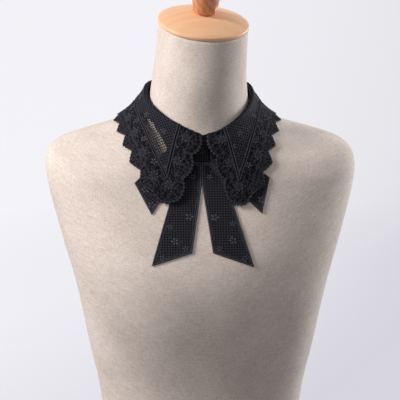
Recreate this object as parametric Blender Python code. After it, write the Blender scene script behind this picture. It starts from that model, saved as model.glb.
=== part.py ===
"""A lace false collar with a flat lace bow, worn by a limbless dress form.

Blender's units are metres, +Z is up, the front faces -Y, and the origin is the middle of the form's flat base.
The sizes below are in millimetres, and MM turns them into metres where a mesh is filled.
Left and right are those of someone who faces the collar, so the left leaf lies at -X.

The collar's cloth is laid out flat first, as it was stitched. A leaf's flat pattern is measured by angle round
the neck from the centre front and by depth down from the fold, and each flat point is then carried onto the
surface that the worn leaf takes. The bow is laid out on the chest, across from the centre and down the slope.
"""

import math

import bmesh
import bpy
import numpy as np
from mathutils import Matrix, Vector
from mathutils.geometry import delaunay_2d_cdt

MM = 0.001


def table(columns, *rows):
    """The rows as one array of numbers for each named column."""
    return dict(zip(columns, np.array(rows, float).T))


# ------------------------------------------------------------------ the dress form
# Each row is one level section of the form, from the base to the top of the neck.
FORM = table(
    ("height", "half_width", "front", "back", "squareness", "lean"),
    (0, 143, -88, 100, 2.25, 0),
    (50, 128, -82, 90, 2.25, 0),
    (100, 121, -80, 85, 2.20, 0),
    (140, 126, -86.5, 86, 2.20, 0),
    (178, 135, -98, 90, 2.25, 0),
    (239, 147, -118, 97, 2.30, 0),
    (263, 152.5, -121.3, 100, 2.35, 0),
    (290, 160, -119.3, 103, 2.43, 0),
    (312, 167, -112.5, 105, 2.50, 0),
    (361, 181, -94, 108, 2.60, 0),
    (390, 188, -85, 107, 2.60, 0),
    (410, 190, -78.5, 105, 2.60, 0),
    (422, 187, -74.3, 102, 2.50, 0),
    (436, 172, -69, 97, 2.40, -0.3),
    (444, 148, -66.3, 92, 2.30, -0.7),
    (452, 120, -63.2, 87, 2.20, -1.2),
    (459, 95, -60.5, 82, 2.10, -1.7),
    (466, 77, -58, 77, 2.05, -2.1),
    (475, 65, -56.5, 73, 2.00, -2.4),
    (485, 60.7, -56.5, 70, 2.00, -2.5),
    (500, 58.8, -57.5, 66, 2.00, -2.2),
    (525, 56.2, -60, 60, 2.00, -0.8),
    (550, 55.0, -60.6, 49, 2.00, 1.0),
    (574, 54.4, -59.8, 41.8, 2.00, 2.4),
)
# From the chest upwards the sections tip forwards: each lies lower at the front than at the shoulder line.
TIP = table(("y", "shift"), (-130, -27), (-60, -27), (-30, -14), (5, 0), (40, 5), (75, 8), (110, 8))
TIP_ENDS = (330.0, 430.0)  # heights between which the tip sets in
LOWER_RING_STEP = 17.0
UPPER_RING_STEP = 6.5
UPPER_RINGS_FROM = 398.0
RING_POINTS = 56
NECK_TILT_FROM = 500.0  # above this section the neck turns to meet the tilted cap
CAP_TILT = math.radians(22.5)
CAP_ROLL = math.radians(4.5)

CAP_CENTRE = (2.4, -9.0, 574.5)
CAP_RADIUS = 55.5
CAP_EDGE = 4.5
CAP_DOME = 11.0
CAP_CHAMFER = 1.0
DOME_SWEEP = 1.2  # radians from the dome's middle to its rim
DOME_STEPS = 9
KNOB_PROFILE = (  # radius and height above the cap
    (11.8, 0), (13.6, 0.8), (14.7, 2.6), (15.3, 6), (15.9, 11), (16.5, 16),
    (17.1, 21.5), (17.3, 27), (16.7, 32), (14.8, 36.5), (11.0, 40), (5.6, 42.1), (0, 42.6),
)
TURNED_STEPS = 40

# ------------------------------------------------------------------ the collar's neckline
FOLD_HALF_WIDTH = 62.6  # the fold is an oval round the neck that climbs towards the back
FOLD_HALF_DEPTH = 64.5
FOLD_CENTRE_Y = 4.5
FOLD_FRONT_HEIGHT = 440.5
FOLD_RISE = table(
    ("angle", "left", "right"),
    (0, 0, 0),
    (17, 6, 6),
    (29, 11.5, 11.5),
    (43, 18, 18),
    (61, 27, 27),
    (79, 39, 38),
    (92, 50, 47),
    (105, 57, 55),
    (120, 61.5, 60.5),
    (140, 65, 64.5),
    (180, 67, 67),
)
# The plan direction in which the fall leaves the fold.
FALL_HEADING = table(
    ("angle", "heading"), (0, 0), (25, 19), (50, 43), (75, 72), (90, 90), (120, 120), (180, 180)
)

WALL = 1.2
SEAM_GAP = 0.3
ROLL_RADIUS = 2.4  # of the fold's inner side
ROLL_TOP = -ROLL_RADIUS * math.pi / 2  # depth of the leaf's neck edge: zero is the roll's top
ROLL_STEPS = 16
FALL_REACH = 50.0  # how far out from the neck the fall comes down to the form
FALL_CLEARANCE = 0.6
BOW_CLEARANCE = 3.2  # the leaves lie over the bow at the front
BOW_CLEARANCE_ENDS = (38.0, 72.0)  # angles between which that clearance falls away
CLEARANCE_GROWS = (3.0, 22.0)  # depths below the fold between which a clearance sets in

BAND_HEIGHT_FRONT = 9.5
BAND_HEIGHT_BACK = 17.0
BAND_CLEARANCE = 0.95
BAND_LIP = 2.6  # the band rises this far in the front gap, level with the fold
BAND_BACK_GAP = 1.0
BAND_ROWS = 5
BAND_BACK_COLUMNS = 34
STEP_WIDTH = 0.3  # degrees over which the band steps up beside a leaf
HOOK_SIZE = (11.0, 0.8, 5.0)
HOOK_DROP = 8.0  # below the fold

# ------------------------------------------------------------------ a leaf's flat pattern
# flare: how slowly the fall comes down from the neck; edge and point: angles of the front edge's two ends;
# reach: extra depth of the hem; lobe: height of the front edge's lobes.
SIDES = (
    {"name": "left", "sign": -1, "flare": 27.0, "edge": 3.4, "point": 22.0, "reach": 2.5, "lobe": 6.2},
    {"name": "right", "sign": 1, "flare": 19.0, "edge": 6.2, "point": 23.0, "reach": -2.5, "lobe": 5.0},
)
# The hem's base line, from the leaf's point to the centre back.
HEM = table(
    ("angle", "depth"),
    (36.7, 94), (40, 88), (47, 75.5), (53, 65), (59, 56.5), (66, 49.5), (77, 44), (90, 43), (120, 44.5),
    (150, 46), (180, 46.5),
)
POINT_DEPTH = 95.5
POINT_BULGE = 6.5
BACK_EDGE = 179.86
TOOTH_PITCH = 27.0
TOOTH_HEIGHT = 9.0
TOOTH_POINTS = 8
TOOTH_SHARPNESS = 0.8
LOBE_PITCH = 28.5
LOBE_POINTS = 7
LOBE_SHARPNESS = 2.6
RIB_INSET = 26.0  # the outer corded rib runs this far inside the hem
INNER_RIB = table(("angle", "depth"), (24.0, 6.0), (29.5, 70.0))
RIB_STEP = 6.0
RIB_HALF_WIDTH = 1.2
RIB_HEIGHT = 0.6
EDGE_CORD_HEIGHT = 0.3
FLOWER_INSET = 12.5
FLOWER_RING = 5.4  # radius of a flower's raised ring
FLOWER_HEIGHT = 0.35
FLOWER_POINTS = 8
MESH_SPACING = 8.0
ROLL_ROWS = (-1.9, 0.0, 1.9, 3.8, 8.5, 14.0)  # depths of the rows of points that keep the roll round
ROLL_ROW_STEP = 5.0
ROLL_ROW_END = 3.5
SPOT_CLEARANCE = 1.3

# ------------------------------------------------------------------ the bow
BOW_X = -2.5
BOW_FORM_CLEARANCE = 0.7
KNOT_HALF_WIDTH = 10.5
KNOT_TOP = 6.5  # the knot is sewn over the band's lower edge
KNOT_BOTTOM = 31.0
KNOT_THICKNESS = 4.2
KNOT_EDGE = 0.45  # share of the thickness at the knot's rim
KNOT_WAIST = 0.1  # share by which the knot narrows at mid height
KNOT_CELLS = 10
KNOT_LIFT = 1.9  # by which the knot's top stands off further, to clear the band
KNOT_LIFT_ENDS = (10.5, 15.0)  # distances down the slope between which that falls away
# Corners on the chest: x from the bow's middle outwards, and distance down the slope from the neckline.
BOW_ENDS = (
    {
        "name": "wing_left",
        "side": -1,
        "corners": ((11, 14), (11, 30.5), (49.5, 81), (59, 97), (79, 57.5), (68.5, 46.5)),
    },
    {
        "name": "wing_right",
        "side": 1,
        "corners": ((11, 14), (11, 30.8), (26, 52), (56, 81), (70, 96), (80.5, 51), (71.5, 44)),
    },
    {
        "name": "tail_left",
        "side": -1,
        "corners": ((0.3, 31.6), (1.2, 60), (12.5, 143), (59.5, 158.5), (31, 57.5), (10.5, 31.6)),
    },
    {
        "name": "tail_right",
        "side": 1,
        "corners": ((0.3, 31.6), (1.2, 60), (11.5, 143), (59.3, 160), (28, 56), (10.5, 31.6)),
    },
)
BOW_EDGE_STEP = 7.0
BOW_EDGE_CORD = 0.4
BOW_SPACING = 9.0


def smooth(x, knots, values):
    """A monotone cubic curve through the knots, flat where the values turn back."""
    x, knots, values = (np.asarray(item, float) for item in (x, knots, values))
    step = np.diff(knots)
    slope = np.diff(values) / step
    tangent = np.concatenate([slope[:1], np.zeros(len(knots) - 2), slope[-1:]])
    for i in range(1, len(knots) - 1):
        if slope[i - 1] * slope[i] > 0:
            before = 2 * step[i] + step[i - 1]
            after = step[i] + 2 * step[i - 1]
            tangent[i] = (before + after) / (before / slope[i - 1] + after / slope[i])
    i = np.clip(np.searchsorted(knots, x) - 1, 0, len(step) - 1)
    t = np.clip((x - knots[i]) / step[i], 0, 1)
    return (
        (1 + 2 * t) * (1 - t) ** 2 * values[i]
        + t * (1 - t) ** 2 * step[i] * tangent[i]
        + t * t * (3 - 2 * t) * values[i + 1]
        + t * t * (t - 1) * step[i] * tangent[i + 1]
    )


def read(chart, x, column):
    """A column of a table, read smoothly against the table's first column."""
    return smooth(x, chart[next(iter(chart))], chart[column])


def ease(x, start, end):
    """Zero before the start, one after the end, and a smooth step between."""
    t = np.clip((np.asarray(x, float) - start) / (end - start), 0, 1)
    return t * t * (3 - 2 * t)


def unit(vectors):
    return vectors / np.linalg.norm(vectors, axis=-1, keepdims=True)


# ------------------------------------------------------------------ surfaces
def form_section(height):
    """Half width, middle y, half depth, squareness and middle x of the form at a height."""
    half_width, front, back, square, lean = (read(FORM, height, column) for column in list(FORM)[1:])
    return half_width, (front + back) / 2, (back - front) / 2, square, lean


def tip(y, height):
    """How far a section's point at depth y lies above the section's own height."""
    return read(TIP, y, "shift") * ease(height, *TIP_ENDS)


def beyond_form(x, y, height):
    """Above zero outside the form, below zero inside it."""
    height = height - tip(y, height)
    half_width, middle_y, half_depth, square, lean = form_section(height)
    return np.abs((x - lean) / half_width) ** square + np.abs((y - middle_y) / half_depth) ** square - 1


def drop_to_form(x, y, start):
    """The height at which a plumb line from (x, y, start) meets the form."""
    stride = 4.0
    levels = start - stride * np.arange(60)[:, None]
    first = np.maximum(np.argmax(beyond_form(x, y, levels) < 0, axis=0), 1)
    high = start - (first - 1) * stride
    low = high - stride
    for _ in range(14):
        middle = (low + high) / 2
        inside = beyond_form(x, y, middle) < 0
        low = np.where(inside, middle, low)
        high = np.where(inside, high, middle)
    return low


def chest_y(x, height):
    """The form's front surface, from the neck's foot down."""
    height = height - tip(TIP["y"][0], height)
    half_width, middle_y, half_depth, square, lean = form_section(height)
    return middle_y - half_depth * np.maximum(1 - np.abs((x - lean) / half_width) ** square, 0) ** (1 / square)


def fold_points(angles):
    """Points of the fold's inner line, and the plan direction in which the fall leaves it."""
    turn = np.radians(angles)
    size = np.abs(angles)
    rise = np.where(angles < 0, read(FOLD_RISE, size, "left"), read(FOLD_RISE, size, "right"))
    height = FOLD_FRONT_HEIGHT + rise
    x = FOLD_HALF_WIDTH * np.sin(turn) + read(FORM, height, "lean")
    y = FOLD_CENTRE_Y - FOLD_HALF_DEPTH * np.cos(turn)
    heading = np.radians(read(FALL_HEADING, size, "heading")) * np.where(angles < 0, -1, 1)
    return np.stack([x, y, height], -1), np.stack([np.sin(heading), -np.cos(heading)], -1)


class Fall:
    """The surface of one worn leaf, with its flat pattern: both are sampled on a grid of angle and depth."""

    def __init__(self, sign, flare):
        self.sign = sign
        self.angles = np.arange(0.0, 181.0, 1.5)
        self.depths = np.arange(0.0, 130.0) + ROLL_TOP
        fold, heading = fold_points(self.angles * sign)
        out = 2 * ROLL_RADIUS + np.arange(0.0, 125.0, 1.0)
        x = fold[:, :1] + out * heading[:, :1]
        y = fold[:, 1:2] + out * heading[:, 1:2]
        start = np.repeat(fold[:, 2:], len(out), axis=1)
        ground = drop_to_form(x.ravel(), y.ravel(), start.ravel()).reshape(x.shape)
        decay = np.exp(-(out - out[0]) / flare)
        last = math.exp(-FALL_REACH / flare)
        lift = np.maximum(decay - last, 0) / (1 - last)
        z = ground + (fold[:, 2:] - ground[:, :1]) * lift
        turn = np.linspace(0, math.pi, ROLL_STEPS + 1)[:-1]
        roll_out = ROLL_RADIUS * (1 - np.cos(turn))
        profile = np.stack(
            [
                np.concatenate([fold[:, :1] + roll_out * heading[:, :1], x], 1),
                np.concatenate([fold[:, 1:2] + roll_out * heading[:, 1:2], y], 1),
                np.concatenate([fold[:, 2:] + ROLL_RADIUS * np.sin(turn), z], 1),
            ],
            -1,
        )
        run = np.concatenate(
            [np.zeros((len(fold), 1)), np.cumsum(np.linalg.norm(np.diff(profile, axis=1), axis=2), axis=1)], 1
        )
        run -= run[:, ROLL_STEPS // 2, None]
        grid = np.stack(
            [[np.interp(self.depths, run[i], line[:, k]) for k in range(3)] for i, line in enumerate(profile)]
        ).transpose(0, 2, 1)
        self.lay_flat(grid)
        angle, depth = np.meshgrid(self.angles, self.depths, indexing="ij")
        clear = FALL_CLEARANCE + (BOW_CLEARANCE - FALL_CLEARANCE) * (1 - ease(angle, *BOW_CLEARANCE_ENDS))
        clear *= ease(depth, *CLEARANCE_GROWS)
        self.points = grid + clear[..., None] * self.facing(grid)
        self.normals = self.facing(self.points)

    def facing(self, grid):
        """Unit normals that point away from the form."""
        return unit(np.cross(np.gradient(grid, axis=1), np.gradient(grid, axis=0)) * self.sign)

    def lay_flat(self, grid):
        """Lays each line of depth beside the last one, turned by as much as the surface widens between them."""
        along = unit(np.gradient(grid, axis=1))
        along = unit(along[1:] + along[:-1])
        step = np.diff(grid, axis=0)
        forward = (step * along).sum(-1)
        across = np.sqrt(np.maximum((step**2).sum(-1) - forward**2, 0))
        used = (self.depths > 2) & (self.depths < 60)
        top = int(np.argmin(np.abs(self.depths)))
        self.starts = [np.zeros(2)]
        self.turns = [0.0]
        for i in range(len(step)):
            widening, width = np.polyfit(self.depths[used], across[i, used], 1)
            heading = self.turns[-1] + widening / 2
            down = np.array([math.sin(heading), -math.cos(heading)])
            side = np.array([math.cos(heading), math.sin(heading)])
            self.starts.append(self.starts[-1] + width * side + forward[i, top] * down)
            self.turns.append(self.turns[-1] + widening)
        self.starts = np.array(self.starts)
        self.turns = np.array(self.turns)

    def flat(self, angle, depth):
        """The flat pattern's point at an angle and a depth."""
        angle, depth = np.broadcast_arrays(np.asarray(angle, float), np.asarray(depth, float))
        turn = np.interp(angle, self.angles, self.turns)
        x = np.interp(angle, self.angles, self.starts[:, 0]) + depth * np.sin(turn)
        y = np.interp(angle, self.angles, self.starts[:, 1]) - depth * np.cos(turn)
        return np.stack([x, y], -1)

    def measure(self, flat):
        """The angle and depth of flat points."""
        down = np.stack([np.sin(self.turns), -np.cos(self.turns)], -1)
        away = flat[:, None] - self.starts
        side = down[:, 0] * away[..., 1] - down[:, 1] * away[..., 0]
        passed = np.argmax(side < 0, axis=1)
        i = np.clip(np.where(side.min(axis=1) < 0, passed, len(self.turns) - 1) - 1, 0, len(self.turns) - 2)
        row = np.arange(len(flat))
        before, after = side[row, i], side[row, i + 1]
        t = before / (before - after)
        angle = self.angles[i] + t * (self.angles[i + 1] - self.angles[i])
        start = self.starts[i] + t[:, None] * (self.starts[i + 1] - self.starts[i])
        turn = self.turns[i] + t * (self.turns[i + 1] - self.turns[i])
        depth = (flat[:, 0] - start[:, 0]) * np.sin(turn) - (flat[:, 1] - start[:, 1]) * np.cos(turn)
        return angle, depth

    def __call__(self, flat):
        """Points and normals of the worn leaf's inner side, for flat points."""
        angle, depth = self.measure(flat)
        column = np.clip(angle / (self.angles[1] - self.angles[0]), 0, len(self.angles) - 1.001)
        row = np.clip(depth - self.depths[0], 0, len(self.depths) - 1.001)
        i, j = column.astype(int), row.astype(int)
        u, v = (column - i)[:, None], (row - j)[:, None]
        found = []
        for grid in (self.points, self.normals):
            near = grid[i, j] * (1 - v) + grid[i, j + 1] * v
            far = grid[i + 1, j] * (1 - v) + grid[i + 1, j + 1] * v
            found.append(near * (1 - u) + far * u)
        return found[0], unit(found[1])


CHEST_HEIGHTS = np.arange(FOLD_FRONT_HEIGHT, 240.0, -1.0)
CHEST_RUN = np.concatenate([[0], np.cumsum(np.hypot(1.0, np.diff(chest_y(0 * CHEST_HEIGHTS, CHEST_HEIGHTS))))])


def chest(flat):
    """Points and normals of the form's chest, for x and distance down the slope."""
    nudge = 0.5

    def at(x, run):
        height = np.interp(run, CHEST_RUN, CHEST_HEIGHTS)
        return np.stack([x, chest_y(x, height), height], -1)

    x, run = flat[:, 0], flat[:, 1]
    across = at(x + nudge, run) - at(x - nudge, run)
    down = at(x, run + nudge) - at(x, run - nudge)
    return at(x, run), unit(np.cross(down, across))


# ------------------------------------------------------------------ outlines
def along_path(path, spacing):
    """Points at even steps along a path, its ends kept."""
    run = np.concatenate([[0], np.cumsum(np.linalg.norm(np.diff(path, axis=0), axis=1))])
    count = max(1, round(run[-1] / spacing))
    at = np.linspace(0, run[-1], count + 1)
    return np.stack([np.interp(at, run, path[:, k]) for k in range(2)], -1)


def side_of(path):
    """Unit vectors to the right of a path, seen from above."""
    along = unit(np.gradient(path, axis=0))
    return np.stack([along[:, 1], -along[:, 0]], -1)


def scalloped(path, pitch, height, points, sharpness):
    """The path with a row of bumps to its right: pointed teeth for a sharpness below 1, round lobes above it."""
    run = np.linalg.norm(np.diff(path, axis=0), axis=1).sum()
    bumps = max(1, round(run / pitch))
    line = along_path(path, run / (bumps * points))
    t = np.linspace(0, bumps, len(line)) % 1
    rise = (1 - np.abs(2 * t - 1)) ** sharpness if sharpness < 1 else 1 - np.abs(2 * t - 1) ** sharpness
    rise[[0, -1]] = 0
    return line + side_of(line) * (height * rise)[:, None]


def leaf_paths(fall, side):
    """The leaf's front edge and hem before they are scalloped, both in the flat."""
    top = fall.flat(side["edge"], 0.0)
    point = fall.flat(side["point"], POINT_DEPTH)
    front = along_path(np.array([point, top]), 4.0)[::-1]
    angles = np.linspace(HEM["angle"][0], BACK_EDGE, 150)
    extra = side["reach"] * ease(angles, 40, 60) * (1 - ease(angles, 100, 175))
    hem = fall.flat(angles, read(HEM, angles, "depth") + extra)
    return front, hem


def rib_path(fall, hem):
    """The corded rib: down beside the front edge, then back up at an even distance from the hem."""
    inner = fall.flat(INNER_RIB["angle"], INNER_RIB["depth"])
    outer = hem - side_of(hem) * RIB_INSET
    away = np.linalg.norm(outer - inner[1], axis=1)
    outer = outer[int(np.argmin(away)) + 3 :]
    outer = outer[fall.measure(outer)[0] < BACK_EDGE - 1.2]
    return np.concatenate(
        [along_path(inner, RIB_STEP), along_path(np.concatenate([inner[1:], outer]), RIB_STEP)[1:]]
    )


def closed_outline(fall, front, hem, side):
    """The whole cut edge of a leaf, anticlockwise: front edge, point, hem, centre back and the fold's inner end."""
    lobes = scalloped(front, LOBE_PITCH, side["lobe"], LOBE_POINTS, LOBE_SHARPNESS)
    point = along_path(np.array([front[-1], hem[0]]), 3.0)
    bulge = np.sin(np.linspace(0, math.pi, len(point)))[:, None]
    point = point + side_of(point) * bulge * POINT_BULGE
    teeth = scalloped(hem, TOOTH_PITCH, TOOTH_HEIGHT, TOOTH_POINTS, TOOTH_SHARPNESS)
    back_depth = fall.measure(teeth[-1:])[1][0]
    back = fall.flat(BACK_EDGE, np.linspace(back_depth, ROLL_TOP, 10))
    inner = fall.flat(np.linspace(BACK_EDGE, side["edge"], 42), ROLL_TOP)
    return np.concatenate([lobes[:-1], point[:-1], teeth[:-1], back[:-1], inner])


def contains(polygon, points):
    """Which points lie inside a polygon."""
    inside = np.zeros(len(points), bool)
    for (ax, ay), (bx, by) in zip(polygon, np.roll(polygon, -1, axis=0)):
        crosses = (ay > points[:, 1]) != (by > points[:, 1])
        with np.errstate(divide="ignore", invalid="ignore"):
            level = ax + (points[:, 1] - ay) * (bx - ax) / (by - ay)
        inside ^= crosses & (points[:, 0] < level)
    return inside


def filling(polygon, fixed, spacing):
    """A triangular grid of points inside the polygon, clear of the points that are already fixed."""
    low, high = polygon.min(0), polygon.max(0)
    x, y = np.meshgrid(
        np.arange(low[0], high[0], spacing), np.arange(low[1], high[1], spacing * math.sqrt(0.75)), indexing="ij"
    )
    x[:, 1::2] += spacing / 2
    points = np.stack([x.ravel(), y.ravel()], -1)
    points = points[contains(polygon, points)]
    away = np.linalg.norm(points[:, None] - fixed, axis=2).min(axis=1)
    return points[away > 0.62 * spacing]


# ------------------------------------------------------------------ meshes
def material(name, colour, roughness, metallic=0.0):
    made = bpy.data.materials.new(name)
    made.use_nodes = True
    shader = made.node_tree.nodes["Principled BSDF"]
    shader.inputs["Base Color"].default_value = (*colour, 1.0)
    shader.inputs["Roughness"].default_value = roughness
    shader.inputs["Metallic"].default_value = metallic
    return made


def add_object(name, bm, finish, sharp_angle=50):
    """Makes an object from a bmesh that is already in metres."""
    bmesh.ops.recalc_face_normals(bm, faces=bm.faces[:])
    if bm.calc_volume(signed=True) < 0:
        bmesh.ops.reverse_faces(bm, faces=bm.faces[:])
    mesh = bpy.data.meshes.new(name)
    bm.to_mesh(mesh)
    bm.free()
    mesh.materials.append(finish)
    mesh.shade_smooth()
    mesh.set_sharp_from_angle(angle=math.radians(sharp_angle))
    made = bpy.data.objects.new(name, mesh)
    bpy.context.scene.collection.objects.link(made)
    return made


def thickened(bm):
    """Closes a sheet into a wall and gives the vertices of its outer side, which still lie on the inner ones."""
    raised = bmesh.ops.extrude_face_region(bm, geom=bm.faces[:], use_keep_orig=True)["geom"]
    return {item for item in raised if isinstance(item, bmesh.types.BMVert)}


def cloth(name, outline, lines, spots, surface, lift, spacing, finish):
    """A cloth wall: a flat pattern that is triangulated, carried onto a surface and thickened outwards.

    lines are paths that the mesh follows and spots are single points, each with the height by which the outer
    side is raised there. The first of the lines is the outline's own height. lift is the wall's distance from
    the surface.
    """
    points, heights, links = [], [], []
    closed = [(outline, lines[0], True)] + [(path, height, False) for path, height in lines[1:]]
    for path, height, ring in closed:
        first = len(points)
        points += list(path)
        heights += [height] * len(path)
        links += [(first + k, first + k + 1) for k in range(len(path) - 1)]
        if ring:
            links.append((first + len(path) - 1, first))
    for spot, height in spots:
        points.append(spot)
        heights.append(height)
    fill = filling(outline, np.array(points), spacing)
    heights += [0.0] * len(fill)
    points += list(fill)
    flat, _, faces, origins, _, _ = delaunay_2d_cdt(
        [Vector(p) for p in points], links, [list(range(len(outline)))], 1, 1e-4
    )
    height = np.array([max((heights[k] for k in origin), default=0.0) for origin in origins])
    place, facing = surface(np.array([tuple(p) for p in flat]))
    inner = place + facing * lift
    outer = inner + facing * (WALL + height)[:, None]
    bm = bmesh.new()
    number = bm.verts.layers.int.new("pattern_point")
    verts = []
    for k, p in enumerate(flat):
        vert = bm.verts.new((p[0], p[1], 0.0))
        vert[number] = k
        verts.append(vert)
    for face in faces:
        bm.faces.new([verts[k] for k in face])
    loose = [vert for vert in bm.verts if not vert.link_faces]
    bmesh.ops.delete(bm, geom=loose, context="VERTS")
    raised = thickened(bm)
    for vert in bm.verts:
        vert.co = Vector((outer if vert in raised else inner)[vert[number]] * MM)
    return add_object(name, bm, finish, 70)


def loft(rings):
    """A closed bmesh through rings of points, from the lowest to the highest, in millimetres."""
    bm = bmesh.new()
    loops = []
    for ring in rings:
        made = bmesh.ops.create_circle(bm, segments=len(ring), radius=1.0)["verts"]
        for vert, point in zip(made, ring):
            vert.co = Vector(point * MM)
        loops.append(made)
    for below, above in zip(loops, loops[1:]):
        edges = {edge for vert in (*below, *above) for edge in vert.link_edges}
        kept = [e for e in edges if (e.verts[0] in below and e.verts[1] in below) or (
            e.verts[0] in above and e.verts[1] in above)]
        bmesh.ops.bridge_loops(bm, edges=kept)
    for loop in (loops[0], loops[-1]):
        bmesh.ops.contextual_create(bm, geom=loop)
    return bm


def cap_frame():
    """Where the neck's cap sits: its middle, tipped forwards and a little to the right."""
    turn = Matrix.Rotation(CAP_TILT, 4, "X") @ Matrix.Rotation(CAP_ROLL, 4, "Y")
    return Matrix.Translation(Vector(CAP_CENTRE) * MM) @ turn


def form_body(finish):
    top = FORM["height"][-1]
    low_count = round(UPPER_RINGS_FROM / LOWER_RING_STEP)
    high_count = round((top - UPPER_RINGS_FROM) / UPPER_RING_STEP)
    heights = np.concatenate(
        [np.linspace(0, UPPER_RINGS_FROM, low_count + 1)[:-1], np.linspace(UPPER_RINGS_FROM, top, high_count + 1)]
    )
    turn = np.linspace(0, 2 * math.pi, RING_POINTS, endpoint=False)
    rings = []
    for height in heights:
        half_width, middle_y, half_depth, square, lean = form_section(height)
        x = half_width * np.sign(np.cos(turn)) * np.abs(np.cos(turn)) ** (2 / square)
        y = half_depth * np.sign(np.sin(turn)) * np.abs(np.sin(turn)) ** (2 / square)
        turned_to_cap = ease(height, NECK_TILT_FROM, top)
        plane = y * math.tan(CAP_TILT) - x * math.tan(CAP_ROLL)
        z = np.full_like(y, height)
        for _ in range(20):
            z = height + (1 - turned_to_cap) * tip(y + middle_y, z) + turned_to_cap * plane
        rings.append(np.stack([x + lean, y + middle_y, z], -1))
    return add_object("form_body", loft(rings), finish, 60)


def turned(name, profile, finish, frame, steps=TURNED_STEPS):
    """A solid of revolution about its frame's Z axis, from a profile of radius and height."""
    bm = bmesh.new()
    verts = [bm.verts.new((radius * MM, 0, height * MM)) for radius, height in profile]
    edges = [bm.edges.new(pair) for pair in zip(verts, verts[1:])]
    bmesh.ops.spin(
        bm, geom=verts + edges, axis=(0, 0, 1), cent=(0, 0, 0), angle=2 * math.pi, steps=steps, use_merge=True
    )
    bmesh.ops.remove_doubles(bm, verts=bm.verts[:], dist=0.00001)
    made = add_object(name, bm, finish, 40)
    made.matrix_world = frame
    return made


def cap_and_knob(cap_finish, knob_finish):
    frame = cap_frame()
    rim = CAP_RADIUS - CAP_CHAMFER
    turn = np.linspace(DOME_SWEEP, 0.0, DOME_STEPS)
    radii = rim * np.sin(turn) / math.sin(DOME_SWEEP)
    heights = CAP_EDGE + CAP_DOME * (np.cos(turn) - math.cos(DOME_SWEEP)) / (1 - math.cos(DOME_SWEEP))
    profile = [(0, 0), (rim, 0), (CAP_RADIUS, CAP_CHAMFER), (CAP_RADIUS, CAP_EDGE - CAP_CHAMFER)]
    turned("form_neck_cap", [*profile, *zip(radii, heights)], cap_finish, frame)
    seat = CAP_EDGE + CAP_DOME + SEAM_GAP
    knob = [(0, seat), *[(radius, height + seat) for radius, height in KNOB_PROFILE]]
    turned("form_knob", knob, knob_finish, frame)


# ------------------------------------------------------------------ the collar's parts
def band_inner(fold, heading, z):
    """How far out from the fold's line the band's inner face stands at a height."""
    reach = np.linspace(-8, 30, 153)
    path = fold[:2] + reach[:, None] * heading
    form = reach[np.argmax(beyond_form(path[:, 0], path[:, 1], np.full(len(reach), z)) > 0)]
    return max(-WALL, form + BAND_CLEARANCE)


def collar_band(finish):
    """The plain stand: it hugs the neck under the fold, runs across the front gap and is open at the centre back."""
    left_edge, right_edge = (side["edge"] * side["sign"] for side in SIDES)
    half_gap = math.degrees(BAND_BACK_GAP / 2 / FOLD_HALF_WIDTH)
    angles = np.concatenate(
        [
            np.linspace(-180 + half_gap, left_edge - 2, BAND_BACK_COLUMNS),
            [left_edge + STEP_WIDTH, left_edge + 2 * STEP_WIDTH],
            np.linspace(left_edge + 2, right_edge - 2, 4),
            [right_edge - 2 * STEP_WIDTH, right_edge - STEP_WIDTH],
            np.linspace(right_edge + 2, 180 - half_gap, BAND_BACK_COLUMNS),
        ]
    )
    fold, heading = fold_points(angles)
    back = ease(np.abs(angles), 40, 180)
    height = BAND_HEIGHT_FRONT + (BAND_HEIGHT_BACK - BAND_HEIGHT_FRONT) * back
    open_front = (angles > left_edge + 1.5 * STEP_WIDTH) & (angles < right_edge - 1.5 * STEP_WIDTH)
    top = np.where(open_front, BAND_LIP, -SEAM_GAP)
    bm = bmesh.new()
    bmesh.ops.create_grid(bm, x_segments=len(angles) - 1, y_segments=BAND_ROWS, size=0.5)
    column = bm.verts.layers.int.new("column")
    row = bm.verts.layers.int.new("row")
    for vert in bm.verts:
        vert[column] = round((vert.co.x + 0.5) * (len(angles) - 1))
        vert[row] = round((0.5 - vert.co.y) * BAND_ROWS)
    outer = thickened(bm)
    for vert in bm.verts:
        i, share = vert[column], vert[row] / BAND_ROWS
        z = fold[i, 2] + top[i] - share * (height[i] + top[i])
        away = band_inner(fold[i], heading[i], z) + (WALL if vert in outer else 0)
        vert.co = Vector((*(fold[i, :2] + away * heading[i]), z)) * MM
    return add_object("collar_band", bm, finish, 60)


def collar_hook(finish):
    """A flat hook behind the fall, across the band's two ends at the centre back."""
    fold, heading = fold_points(np.array([180.0]))
    low = fold[0, 2] - HOOK_DROP - HOOK_SIZE[2] / 2
    away = band_inner(fold[0], heading[0], low) + WALL + SEAM_GAP + HOOK_SIZE[1] / 2
    bm = bmesh.new()
    bmesh.ops.create_cube(bm, size=1.0)
    for vert in bm.verts:
        vert.co = Vector([c * size * MM for c, size in zip(vert.co, HOOK_SIZE)])
    made = add_object("collar_hook", bm, finish)
    x, y, z = fold[0]
    made.location = Vector((x, y + away, z - HOOK_DROP)) * MM
    return made


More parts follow.
